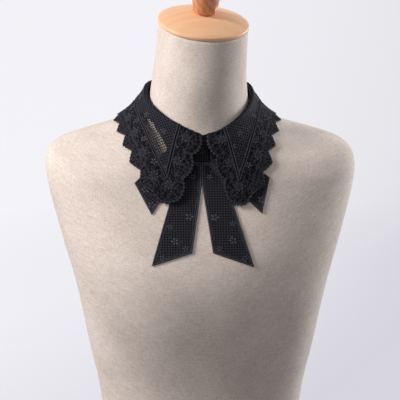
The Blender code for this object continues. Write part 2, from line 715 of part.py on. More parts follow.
def collar_leaf(side, finish):
    fall = Fall(side["sign"], side["flare"])
    front, hem = leaf_paths(fall, side)
    outline = closed_outline(fall, front, hem, side)
    rib = rib_path(fall, hem)
    across = side_of(rib) * RIB_HALF_WIDTH
    lines = [EDGE_CORD_HEIGHT, (rib, RIB_HEIGHT), (rib + across, 0.0), (rib - across, 0.0)]
    angles = np.arange(side["edge"] + ROLL_ROW_END, BACK_EDGE - ROLL_ROW_END / 2, ROLL_ROW_STEP)
    spots = [(point, 0.0) for depth in ROLL_ROWS for point in fall.flat(angles, depth)]
    border = along_path(np.concatenate([front[2:-2], hem[4:-5]]), LOBE_PITCH)
    centres = border - side_of(border) * FLOWER_INSET
    turn = np.linspace(0, 2 * math.pi, FLOWER_POINTS, endpoint=False)
    ring = FLOWER_RING * np.stack([np.cos(turn), np.sin(turn)], -1)
    for centre in centres[:-1]:
        spots += [(point, FLOWER_HEIGHT) for point in centre + ring]
        spots.append((centre, 0.0))
    spots = clear_of(spots, outline, [outline, rib, rib + across, rib - across])
    return cloth(f"collar_leaf_{side['name']}", outline, lines, spots, fall, 0.0, MESH_SPACING, finish)


def clear_of(spots, outline, paths):
    """The spots inside an outline that keep a distance from the paths and from the spots before them."""
    taken = [point for path in paths for point in path]
    kept = []
    for point, height in spots:
        near = np.linalg.norm(np.array(taken) - point, axis=1).min() < SPOT_CLEARANCE
        if contains(outline, point[None])[0] and not near:
            kept.append((point, height))
            taken.append(point)
    return kept


# ------------------------------------------------------------------ the bow's parts
def bow_end(end, finish):
    """One end of the lace strip, laid on the chest, with a corded edge."""
    corners = end["corners"]
    path = np.array([*corners, corners[0]], float) * (end["side"], 1) + (BOW_X, 0)
    outline = np.concatenate([along_path(path[k : k + 2], BOW_EDGE_STEP)[:-1] for k in range(len(corners))])
    name = f"bow_{end['name']}"
    return cloth(name, outline, [BOW_EDGE_CORD], [], chest, BOW_FORM_CLEARANCE, BOW_SPACING, finish)


def bow_knot(finish):
    """The short strip wrapped round the bow's middle: a flat pad, rounded at its edges."""
    bm = bmesh.new()
    bmesh.ops.create_grid(bm, x_segments=KNOT_CELLS, y_segments=KNOT_CELLS, size=1.0)
    number = bm.verts.layers.int.new("number")
    for k, vert in enumerate(bm.verts):
        vert[number] = k
    across, up = np.array([(vert.co.x, vert.co.y) for vert in bm.verts]).T
    outer = thickened(bm)
    x = BOW_X + across * KNOT_HALF_WIDTH * (1 - KNOT_WAIST * (1 - up**2))
    run = (KNOT_TOP + KNOT_BOTTOM) / 2 - up * (KNOT_BOTTOM - KNOT_TOP) / 2
    place, facing = chest(np.stack([x, run], -1))
    dome = KNOT_THICKNESS * (KNOT_EDGE + (1 - KNOT_EDGE) * (1 - across**4) * (1 - up**4))
    lift = KNOT_LIFT * (1 - ease(run, *KNOT_LIFT_ENDS))
    for vert in bm.verts:
        k = vert[number]
        away = BOW_FORM_CLEARANCE + lift[k] + (dome[k] if vert in outer else 0)
        vert.co = Vector((place[k] + facing[k] * away) * MM)
    return add_object("bow_knot", bm, finish, 60)


def main():
    for old in list(bpy.data.objects):
        bpy.data.objects.remove(old, do_unlink=True)
    linen = material("beige linen", (0.66, 0.58, 0.49), 0.9)
    beech = material("pale beech", (0.78, 0.62, 0.48), 0.45)
    varnish = material("varnished wood", (0.55, 0.27, 0.11), 0.25)
    lace = material("black lace", (0.012, 0.012, 0.014), 0.7)
    ribbon = material("black band", (0.01, 0.01, 0.012), 0.6)
    steel = material("blackened steel", (0.05, 0.05, 0.05), 0.4, 1.0)
    form_body(linen)
    cap_and_knob(beech, varnish)
    collar_band(ribbon)
    collar_hook(steel)
    for side in SIDES:
        collar_leaf(side, lace)
    for end in BOW_ENDS:
        bow_end(end, lace)
    bow_knot(lace)


main()
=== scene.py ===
"""A black lace false collar with a flat lace bow, worn by a linen-covered dress form without limbs.

Blender's units are metres and the front faces -Y. Left and right are those of someone who faces the collar.
The lace is laid out flat first, in millimetres, as the embroidery machine stitches it, and is then carried
onto the surface that the worn cloth takes.
"""

import math

import bmesh
import bpy
import numpy as np
from mathutils import Matrix, Vector
from mathutils.bvhtree import BVHTree


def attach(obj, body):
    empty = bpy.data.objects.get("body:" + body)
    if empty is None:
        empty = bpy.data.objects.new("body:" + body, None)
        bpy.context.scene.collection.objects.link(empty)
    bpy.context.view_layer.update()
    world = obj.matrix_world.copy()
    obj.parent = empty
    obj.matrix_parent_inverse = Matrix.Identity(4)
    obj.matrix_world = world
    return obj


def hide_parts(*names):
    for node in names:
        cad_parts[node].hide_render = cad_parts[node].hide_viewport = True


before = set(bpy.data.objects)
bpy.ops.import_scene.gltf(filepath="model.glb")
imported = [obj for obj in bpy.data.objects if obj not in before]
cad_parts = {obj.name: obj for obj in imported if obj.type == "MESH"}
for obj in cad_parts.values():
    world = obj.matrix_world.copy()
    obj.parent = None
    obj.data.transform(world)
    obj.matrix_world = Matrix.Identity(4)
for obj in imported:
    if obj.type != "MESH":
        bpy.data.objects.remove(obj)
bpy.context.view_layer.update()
MM = 0.001

# ------------------------------------------------------------ the studio
# A pale floor of board that turns up into a low wall all round, so that no edge shows behind the form; its
# paleness is mostly a glow of painted light, fading towards the front. Three cloth-fronted lamps light it,
# and the camera stands a little to the left of the middle.
FLOOR_RADIUS = 4.2
WALL_CURVE = 1.6
WALL_HEIGHT = 4.5
CAMERA_AZIMUTH = math.radians(-2.5)
CAMERA_ELEVATION = math.radians(5.0)
CAMERA_DISTANCE = 2.0
CAMERA_AIM = Vector((-0.0011, 0.0, 0.361))
CAMERA_LENS = 147.0
LAMP_AIM = Vector((0, 0, 0.42))
LAMPS = (  # name, place, size, watts, colour
    ("key_lamp", (-2.25, -0.62, 1.7), 0.9, 80.0, (1.0, 0.985, 0.975)),
    ("rim_lamp", (1.9, 0.95, 1.2), 0.9, 50.0, (0.97, 0.985, 1.0)),
    ("front_lamp", (0.2, -2.6, 1.6), 1.6, 12.0, (1.0, 0.99, 0.98)),
)
AIR_COLOUR = (0.93, 0.95, 1.0, 1.0)
AIR_STRENGTH = 0.17
PAINTED_LIGHT_SLOPE = (-0.5, 0.19, 0.0)  # the painted glow grows by this much a metre
PAINTED_LIGHT_GLOW = (  # place along the painted glow's fall-off, colour
    (0.0, (0.54, 0.53, 0.585)),
    (0.22, (0.685, 0.675, 0.725)),
    (0.42, (0.765, 0.76, 0.80)),
    (1.0, (0.86, 0.855, 0.90)),
)


def new_material(name, colour, roughness, **constants):
    """A material with its shader and its node tree; the constants are further sockets of the shader."""
    made = bpy.data.materials.new(name)
    made.use_nodes = True
    shader = made.node_tree.nodes["Principled BSDF"]
    shader.inputs["Base Color"].default_value = (*colour, 1.0)
    shader.inputs["Roughness"].default_value = roughness
    for socket, value in constants.items():
        shader.inputs[socket.replace("_", " ")].default_value = value
    return made, shader, made.node_tree


def add_node(tree, kind, **given):
    """A shader node whose sockets are given a value each, or another node's output."""
    node = tree.nodes.new("ShaderNode" + kind)
    for socket, value in given.items():
        socket = node.inputs[socket.replace("_", " ")]
        if isinstance(value, bpy.types.NodeSocket):
            tree.links.new(value, socket)
        else:
            socket.default_value = value
    return node


def colour_between(tree, factor, stops, socket):
    """Colours a socket by a factor's value; each stop is a place from 0 to 1 and its colour."""
    ramp = add_node(tree, "ValToRGB", Fac=factor)
    elements = ramp.color_ramp.elements
    first, *others, last = stops
    for element, (place, colour) in zip(elements, (first, last)):
        element.position, element.color = place, (*colour, 1)
    for place, colour in others:
        elements.new(place).color = (*colour, 1)
    tree.links.new(ramp.outputs["Color"], socket)


def stretched_noise(tree, place, scale, detail, turn=(0.0, 0.0, 0.0)):
    stretch = add_node(tree, "Mapping", Rotation=turn, Scale=scale, Vector=place)
    noise = add_node(tree, "TexNoise", Scale=1.0, Detail=detail, Vector=stretch.outputs["Vector"])
    return noise.outputs["Fac"]


def emboss(tree, shader, height, strength, depth):
    bump = add_node(tree, "Bump", Strength=strength, Distance=depth, Height=height)
    tree.links.new(bump.outputs["Normal"], shader.inputs["Normal"])


def add_mesh(name, bm, material):
    mesh = bpy.data.meshes.new(name)
    bm.to_mesh(mesh)
    bm.free()
    mesh.materials.append(material)
    made = bpy.data.objects.new(name, mesh)
    bpy.context.scene.collection.objects.link(made)
    return made


def smoothed(bm):
    for face in bm.faces:
        face.smooth = True
    return bm


def spun(profile, steps):
    """A closed, smooth bmesh turned from a profile of radius and height, about the Z axis."""
    bm = bmesh.new()
    verts = [bm.verts.new((radius, 0.0, height)) for radius, height in profile]
    edges = [bm.edges.new(pair) for pair in zip(verts, verts[1:])]
    bmesh.ops.spin(
        bm, geom=verts + edges, axis=(0, 0, 1), cent=(0, 0, 0), angle=2 * math.pi, steps=steps, use_merge=True
    )
    bmesh.ops.remove_doubles(bm, verts=bm.verts[:], dist=1e-6)
    bmesh.ops.recalc_face_normals(bm, faces=bm.faces[:])
    return smoothed(bm)


def painted_light_backdrop():
    """A dark board that glows with painted light, fading towards the front and a little towards the right."""
    made, shader, tree = new_material(
        "painted_light_backdrop", (0.10, 0.10, 0.105), 0.9, Specular_IOR_Level=0.1, Emission_Strength=1.0
    )
    place = add_node(tree, "TexCoord")
    glow_falloff = add_node(tree, "VectorMath")
    glow_falloff.operation = "DOT_PRODUCT"
    glow_falloff.inputs[1].default_value = PAINTED_LIGHT_SLOPE
    tree.links.new(place.outputs["Object"], glow_falloff.inputs[0])
    colour_between(tree, glow_falloff.outputs["Value"], PAINTED_LIGHT_GLOW, shader.inputs["Emission Color"])
    return made


def make_studio():
    turn = np.linspace(0, math.pi / 2, 15)
    curve = [(FLOOR_RADIUS + WALL_CURVE * math.sin(t), WALL_CURVE * (1 - math.cos(t))) for t in turn]
    top = (FLOOR_RADIUS + WALL_CURVE, WALL_HEIGHT)
    bm = spun([(0.0, 0.0), (1.0, 0.0), (2.5, 0.0), *curve, top], 64)
    floor = add_mesh("studio_floor", bm, painted_light_backdrop())
    # the board's painted glow is hidden from diffuse rays, so it does not light the cloth
    floor.visible_diffuse = False
    world = bpy.data.worlds.new("studio_air")
    world.use_nodes = True
    world.node_tree.nodes["Background"].inputs["Color"].default_value = AIR_COLOUR
    world.node_tree.nodes["Background"].inputs["Strength"].default_value = AIR_STRENGTH
    bpy.context.scene.world = world
    bpy.context.scene.view_settings.view_transform = "Standard"
    for name, place, size, watts, colour in LAMPS:
        lamp = bpy.data.lights.new(name, "AREA")
        lamp.size, lamp.energy, lamp.color = size, watts, colour
        stand = bpy.data.objects.new(name, lamp)
        stand.location = place
        stand.rotation_euler = (LAMP_AIM - Vector(place)).to_track_quat("-Z", "Y").to_euler()
        bpy.context.scene.collection.objects.link(stand)
    camera = bpy.data.objects.new("camera", bpy.data.cameras.new("camera"))
    camera.data.lens = CAMERA_LENS
    camera.data.sensor_width = 36.0
    camera.data.clip_end = 40.0
    level = math.cos(CAMERA_ELEVATION)
    back = Vector(
        (math.sin(CAMERA_AZIMUTH) * level, -math.cos(CAMERA_AZIMUTH) * level, math.sin(CAMERA_ELEVATION))
    )
    camera.location = CAMERA_AIM + back * CAMERA_DISTANCE
    camera.rotation_euler = (-back).to_track_quat("-Z", "Y").to_euler()
    bpy.context.scene.collection.objects.link(camera)
    bpy.context.scene.camera = camera


make_studio()

# ------------------------------------------------------------ the form's cover
# The dress form is a padded bust under natural linen, woven with thick and thin weft threads. The cover has
# seams over the shoulders and down the sides, and one down the middle of the back.
SEAM_WIDTH = 1.6 * MM
SEAM_SINK = 0.5 * MM
SEAM_SNAP = 0.5 * MM  # the cover's own points this near to a seam's line are moved onto it
RIM_ANGLE = 0.7  # edges sharper than this stay crisp: the flat base's rim and the neck's
BASE_TOP = 1 * MM  # the seams end above the flat base
BACK_FROM_Y = 20 * MM
SIDES_FROM_X = 30 * MM
SHOULDER_SEAM_Y = 6 * MM
SHOULDER_FALL = 0.8  # the weft climbs a shoulder by this share of the distance from the neck
WEAVE_RADIUS = 0.13  # of the round that the weft is laid out on
BACK_HALF_WIDTH = 20 * MM  # of the faces that may lie across the line where the weave's run starts again
WEAVE = (  # layer, scale along the run and the climb, detail
    ("weft", (190.0, 1400.0, 1.0), 3.0),
    ("warp", (1400.0, 150.0, 1.0), 2.0),
    ("slub", (70.0, 760.0, 1.0), 4.0),
    ("shade", (16.0, 20.0, 1.0), 2.0),
)
LINEN_TONES = ((0.36, (0.54, 0.437, 0.372)), (0.62, (0.91, 0.793, 0.722)))


def merged_copy(node):
    """A node's surface as one joined bmesh of quads."""
    bm = bmesh.new()
    bm.from_mesh(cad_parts[node].data)
    bmesh.ops.remove_doubles(bm, verts=bm.verts[:], dist=1e-6)
    bmesh.ops.join_triangles(bm, faces=bm.faces[:], angle_face_threshold=0.5, angle_shape_threshold=3.1)
    return bm


def finished(piece, node):
    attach(piece, "root")
    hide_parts(node)
    return piece


def evaluated_bmesh(piece):
    """The piece's mesh with its modifiers applied."""
    graph = bpy.context.evaluated_depsgraph_get()
    bm = bmesh.new()
    bm.from_object(piece, graph)
    return bm


def linen():
    """Plain weave: fine threads both ways on the cloth's own run and climb, uneven in thickness and shade."""
    made, shader, tree = new_material(
        "natural_linen", (0.80, 0.71, 0.64), 0.92, Sheen_Weight=0.2, Specular_IOR_Level=0.2
    )
    place = add_node(tree, "UVMap")
    place.uv_map = "weave"
    layers = {
        name: stretched_noise(tree, place.outputs["UV"], scale, detail) for name, scale, detail in WEAVE
    }

    def blend(first, second, factor):
        return add_node(tree, "Mix", Factor=factor, A=first, B=second).outputs["Result"]

    threads = blend(layers["weft"], layers["warp"], 0.5)
    cloth = blend(threads, layers["slub"], 0.3)
    tone = blend(cloth, layers["shade"], 0.2)
    colour_between(tree, tone, LINEN_TONES, shader.inputs["Base Color"])
    emboss(tree, shader, cloth, 0.6, 0.0008)
    return made


def press_seam(bm, axis, at, keep):
    """Cuts three lines across the cover where keep is true, and sinks the middle one."""
    for shift in (-SEAM_WIDTH, SEAM_WIDTH, 0.0):  # the middle comes last
        point = Vector((0, 0, 0))
        point[axis] = at + shift
        normal = Vector((0, 0, 0))
        normal[axis] = 1.0
        faces = [face for face in bm.faces if keep(face.calc_center_median())]
        edges = {edge for face in faces for edge in face.edges}
        verts = {vert for face in faces for vert in face.verts}
        cut = bmesh.ops.bisect_plane(
            bm, geom=[*faces, *edges, *verts], plane_co=point, plane_no=normal, dist=SEAM_SNAP
        )
        line = [item for item in cut["geom_cut"] if isinstance(item, bmesh.types.BMVert)]
        for vert in line:
            vert.co[axis] = at + shift
    bm.normal_update()
    for vert, sunk in [(vert, vert.co - vert.normal * SEAM_SINK) for vert in line]:
        vert.co = sunk


def make_form_cover():
    """The form's surface, rounded off between its rims, with seams, and with the weave's run as its UVs."""
    body = merged_copy("form_body")
    crease = body.edges.layers.float.new("crease_edge")
    for edge in body.edges:
        if edge.calc_face_angle(0.0) > RIM_ANGLE:
            edge[crease] = 1.0
    cover = add_mesh("form_cover", body, linen())
    round_off = cover.modifiers.new("round_off", "SUBSURF")
    round_off.levels = round_off.render_levels = 1
    bm = evaluated_bmesh(cover)
    cover.modifiers.clear()
    press_seam(bm, 0, 0.0, lambda p: p.y > BACK_FROM_Y and p.z > BASE_TOP)
    press_seam(bm, 1, SHOULDER_SEAM_Y, lambda p: abs(p.x) > SIDES_FROM_X and p.z > BASE_TOP)
    weave = bm.loops.layers.uv.new("weave")
    for face in bm.faces:
        face.smooth = True
        middle = face.calc_center_median()
        behind = middle.y > 0 and abs(middle.x) < BACK_HALF_WIDTH
        for loop in face.loops:
            x, y, z = loop.vert.co
            turn = math.atan2(x, -y)
            if behind and turn * middle.x < 0:
                turn = math.copysign(2 * math.pi, middle.x) + turn
            loop[weave].uv = (turn * WEAVE_RADIUS, z - SHOULDER_FALL * math.hypot(x, y))
    bm.to_mesh(cover.data)
    bm.free()
    return finished(cover, "form_body")


form_cover = make_form_cover()
form_surface = evaluated_bmesh(form_cover)
form_tree = BVHTree.FromBMesh(form_surface)
form_surface.free()

# ------------------------------------------------------------ the neck cap
# The neck is closed by a turned disc of pale beech, domed on top and tipped forwards with the neck. A knob
# of varnished wood is doweled into its middle.
CAP_PLACE = Vector((2.4, -9.0, 574.5)) * MM
CAP_TILT = math.radians(22.5)
CAP_ROLL = math.radians(4.5)
GRAIN_TURN = (0.3, 0.12, 0.5)
PORE_SHARE = 0.7
CAP_PROFILE = (  # radius and height in millimetres
    (0, 0), (54.3, 0), (55.0, 0.2), (55.4, 0.7), (55.5, 2.2), (55.5, 3.8), (55.3, 4.3), (54.8, 4.7),
    (50.5, 6.3), (45.5, 8.1), (39, 10.1), (31.5, 12.0), (23.5, 13.6), (15, 14.7), (7, 15.3), (0, 15.5),
)
KNOB_PROFILE = (
    (0, 15.8), (10.6, 15.8), (11.8, 16.0), (12.9, 16.5), (13.8, 17.3), (14.5, 18.4), (15.0, 20.2),
    (15.4, 23.0), (15.9, 27.0), (16.4, 31.0), (16.9, 35.2), (17.2, 39.4), (17.3, 43.0), (17.0, 46.4),
    (16.1, 49.8), (14.5, 52.8), (12.1, 55.3), (8.9, 57.2), (4.8, 58.2), (0, 58.4),
)


def wood(name, light, dark, roughness, coat, ring_scale, grain_scale):
    """Turned wood: growth rings cut by the dome, and fine pores along the grain."""
    made, shader, tree = new_material(name, light, roughness, Coat_Weight=coat, Coat_Roughness=0.12)
    place = add_node(tree, "TexCoord").outputs["Object"]
    turned = add_node(tree, "Mapping", Rotation=GRAIN_TURN, Scale=ring_scale, Vector=place)
    rings = add_node(
        tree, "TexWave", Scale=1.0, Distortion=3.5, Detail=3.0, Detail_Scale=1.6,
        Vector=turned.outputs["Vector"],
    )
    pores = stretched_noise(tree, place, grain_scale, 4.0, GRAIN_TURN)
    both = add_node(tree, "Mix", Factor=PORE_SHARE, A=rings.outputs["Fac"], B=pores)
    colour_between(tree, both.outputs["Result"], ((0.25, dark), (0.7, light)), shader.inputs["Base Color"])
    emboss(tree, shader, pores, 0.15, 0.0003)
    return made


def make_turned(name, node, profile, material):
    bm = spun([(radius * MM, height * MM) for radius, height in profile], 96)
    for angle, axis in ((CAP_ROLL, "Y"), (CAP_TILT, "X")):
        bmesh.ops.rotate(bm, verts=bm.verts[:], cent=(0, 0, 0), matrix=Matrix.Rotation(angle, 3, axis))
    bmesh.ops.translate(bm, verts=bm.verts[:], vec=CAP_PLACE)
    return finished(add_mesh(name, bm, material), node)


make_turned(
    "neck_cap", "form_neck_cap", CAP_PROFILE,
    wood("pale_beech", (0.98, 0.585, 0.335), (0.92, 0.51, 0.285), 0.45, 0.08, (6, 60, 60), (40, 900, 900)),
)
make_turned(
    "cap_knob", "form_knob", KNOB_PROFILE,
    wood("varnished_wood", (0.72, 0.28, 0.11), (0.50, 0.165, 0.055), 0.3, 0.6, (40, 40, 90), (300, 300, 60)),
)

# ------------------------------------------------------------ the collar's band
# A plain black ribbon stands round the neck under the fold. It carries both leaves, crosses the front gap and
# ends at the centre back, where a flat hook joins it.
NECK_MIDDLE_Y = 4.5
STAND_LIFT = {  # angle from the front, and millimetres by which the collar rides up the neck
    "left": (
        (0, 0), (8, 1.5), (17, 2.6), (29, 3.4), (43, 5.2), (57, 6.8), (70, 6.2), (85, 4.6), (105, 3.0),
        (140, 1.0), (180, 0),
    ),
    "right": (
        (0, 0), (14, -0.4), (25, 0), (35, 0.9), (44, 2.3), (56, 4.0), (70, 4.8), (85, 4.6), (105, 3.4),
        (140, 1.0), (180, 0),
    ),
}


def monotone(x, table):
    """A smooth curve through a table's rows, flat where its values turn back."""
    knots, values = np.array(table, float).T
    x = np.asarray(x, float)
    step = np.diff(knots)
    slope = np.diff(values) / step
    tangent = np.concatenate([slope[:1], np.zeros(len(knots) - 2), slope[-1:]])
    for i in range(1, len(knots) - 1):
        if slope[i - 1] * slope[i] > 0:
            before = 2 * step[i] + step[i - 1]
            after = step[i] + 2 * step[i - 1]
            tangent[i] = (before + after) / (before / slope[i - 1] + after / slope[i])
    i = np.clip(np.searchsorted(knots, x) - 1, 0, len(step) - 1)
    t = np.clip((x - knots[i]) / step[i], 0, 1)
    return (
        (1 + 2 * t) * (1 - t) ** 2 * values[i]
        + t * (1 - t) ** 2 * step[i] * tangent[i]
        + t * t * (3 - 2 * t) * values[i + 1]
        + t * t * (t - 1) * step[i] * tangent[i + 1]
    )


def ribbon():
    """Plain ribbon with fine upright ribs."""
    made, shader, tree = new_material("black_ribbon", (0.006, 0.006, 0.008), 0.6, Specular_IOR_Level=0.1)
    place = add_node(tree, "TexCoord").outputs["Object"]
    ribs = stretched_noise(tree, place, (900, 900, 60), 2.0)
    tones = ((0.0, (0.0025, 0.0025, 0.0035)), (1.0, (0.010, 0.010, 0.013)))
    colour_between(tree, ribs, tones, shader.inputs["Base Color"])
    emboss(tree, shader, ribs, 0.5, 0.0003)
    return made


band_bm = merged_copy("collar_band")
bmesh.ops.subdivide_edges(band_bm, edges=band_bm.edges[:], cuts=1, use_grid_fill=True)
for vert in band_bm.verts:
    angle = math.degrees(math.atan2(vert.co.x, NECK_MIDDLE_Y * MM - vert.co.y))
    vert.co.z += float(monotone(abs(angle), STAND_LIFT["left" if angle < 0 else "right"])) * MM
collar_band = add_mesh("neck_band", band_bm, ribbon())
finished(collar_band, "collar_band")

hook_bm = merged_copy("collar_hook")
bmesh.ops.bevel(
    hook_bm, geom=hook_bm.edges[:], offset=0.25 * MM, segments=2, profile=0.5, affect="EDGES", material=-1
)
steel = new_material("blackened_steel", (0.05, 0.05, 0.055), 0.35, Metallic=1.0)[0]
finished(add_mesh("back_hook", hook_bm, steel), "collar_hook")

# ------------------------------------------------------------ the lace cloth
# Machine embroidery in black polyester on a base that is washed away. What stays is a net of fine thread,
# satin-stitched flowers and leaves, and corded edges, all in one piece.
REPEAT_STEPS = 20
HALF, WHOLE = REPEAT_STEPS // 2, REPEAT_STEPS  # steps to a repeat's middle, and to its end
PINHOLE = 0.055  # radius of a flower's pinholes, as a share of its own
PETAL_LENGTHS = (0.62, 0.55, 0.66)  # by turns, as shares of the flower's radius
THREAD_EDGE = 0.28  # height of a thread at its edge, and of the ground between raised threads
FURTHEST_SHIFT = 0.46  # of a cell, by which a point at a thread's edge moves onto it
CORNER_ROUNDS = 6  # of filling in cells that meet at a corner alone
NET_PITCH = 3.1
NET_LINE = 0.56  # distance from a net thread's middle at which its painted highlight has gone
# how strongly a highlight is painted along the net's threads
NET_SHINE = 0.66
NET_CROWN = 0.8
NET_TWIST = 1.7  # its stitches are finer than a satin leaf's by this much
STITCH_LENGTH = 0.55
THREAD_TONES = (  # half of a thread's painted shine, colour; the lighter stops are a highlight painted on black thread
    (0.01, (0.0020, 0.0019, 0.0027)),
    (0.5, (0.070, 0.067, 0.084)),
    (1.0, (0.150, 0.145, 0.172)),
)
# how strongly highlights are painted on the flowers' petals, and on the rosettes
PETAL_SHINE = 1.35
ROSETTE_SHINE = 1.9


def ease(x, start, end):
    t = np.clip((np.asarray(x, float) - start) / (end - start), 0, 1)
    return t * t * (3 - 2 * t)


def unit(vectors):
    return vectors / np.linalg.norm(vectors, axis=-1, keepdims=True)


def towards(heading):
    return np.array([math.cos(heading), math.sin(heading)])


def outline_area(outline):
    x, y = outline.T
    return abs(float(np.dot(x, np.roll(y, -1)) - np.dot(y, np.roll(x, -1)))) / 2


def path_length(path):
    return float(np.linalg.norm(np.diff(path, axis=0), axis=1).sum())


def along_path(path, spacing):
    run = np.concatenate([[0], np.cumsum(np.linalg.norm(np.diff(path, axis=0), axis=1))])
    at = np.linspace(0, run[-1], max(1, round(run[-1] / spacing)) + 1)
    return np.stack([np.interp(at, run, path[:, k]) for k in range(2)], -1)


def side_of(path):
    along = unit(np.gradient(path, axis=0))
    return np.stack([along[:, 1], -along[:, 0]], -1)


def spots(path, pitch, first):
    """A place in each of the path's repeats, first steps from its start, with the way out to the right."""
    count = max(1, round(path_length(path) / pitch))
    fine = along_path(path, path_length(path) / (count * REPEAT_STEPS))
    out = side_of(fine)
    return [(fine[i], out[i]) for i in range(first, WHOLE * count, WHOLE)]


def read_between(grids, column, row):
    """A surface's points and normals between those of its grids."""
    i, j = column.astype(int), row.astype(int)
    u, v = (column - i)[:, None], (row - j)[:, None]
    found = []
    for grid in grids:
        near = grid[i, j] * (1 - v) + grid[i, j + 1] * v
        far = grid[i + 1, j] * (1 - v) + grid[i + 1, j + 1] * v
        found.append(near * (1 - u) + far * u)
    return found[0], unit(found[1])


def beside(points, path):
    """The distance of the nearest place on a path, and its run along the path."""
    best = np.full(len(points), 1e9)
    where = np.zeros(len(points))
    done = 0.0
    for a, b in zip(path, path[1:]):
        line = b - a
        length = float(np.hypot(*line))
        if length < 1e-9:
            continue
        away = points - a
        t = np.clip(away @ line / length**2, 0, 1)
        gap = np.hypot(away[:, 0] - t * line[0], away[:, 1] - t * line[1])
        near = gap < best - 1e-9
        best[near] = gap[near]
        where[near] = done + t[near] * length
        done += length
    return best, where


def contains(polygon, points):
    inside = np.zeros(len(points), bool)
    for (ax, ay), (bx, by) in zip(polygon, np.roll(polygon, -1, axis=0)):
        crosses = (ay > points[:, 1]) != (by > points[:, 1])
        with np.errstate(divide="ignore", invalid="ignore"):
            level = ax + (points[:, 1] - ay) * (bx - ax) / (by - ay)
        inside ^= crosses & (points[:, 0] < level)
    return inside


def inside_edge(points, outline):
    """How far inside a closed outline each point is, and its run along the outline."""
    gap, run = beside(points, np.concatenate([outline, outline[:1]]))
    return np.where(contains(outline, points), gap, -gap), run


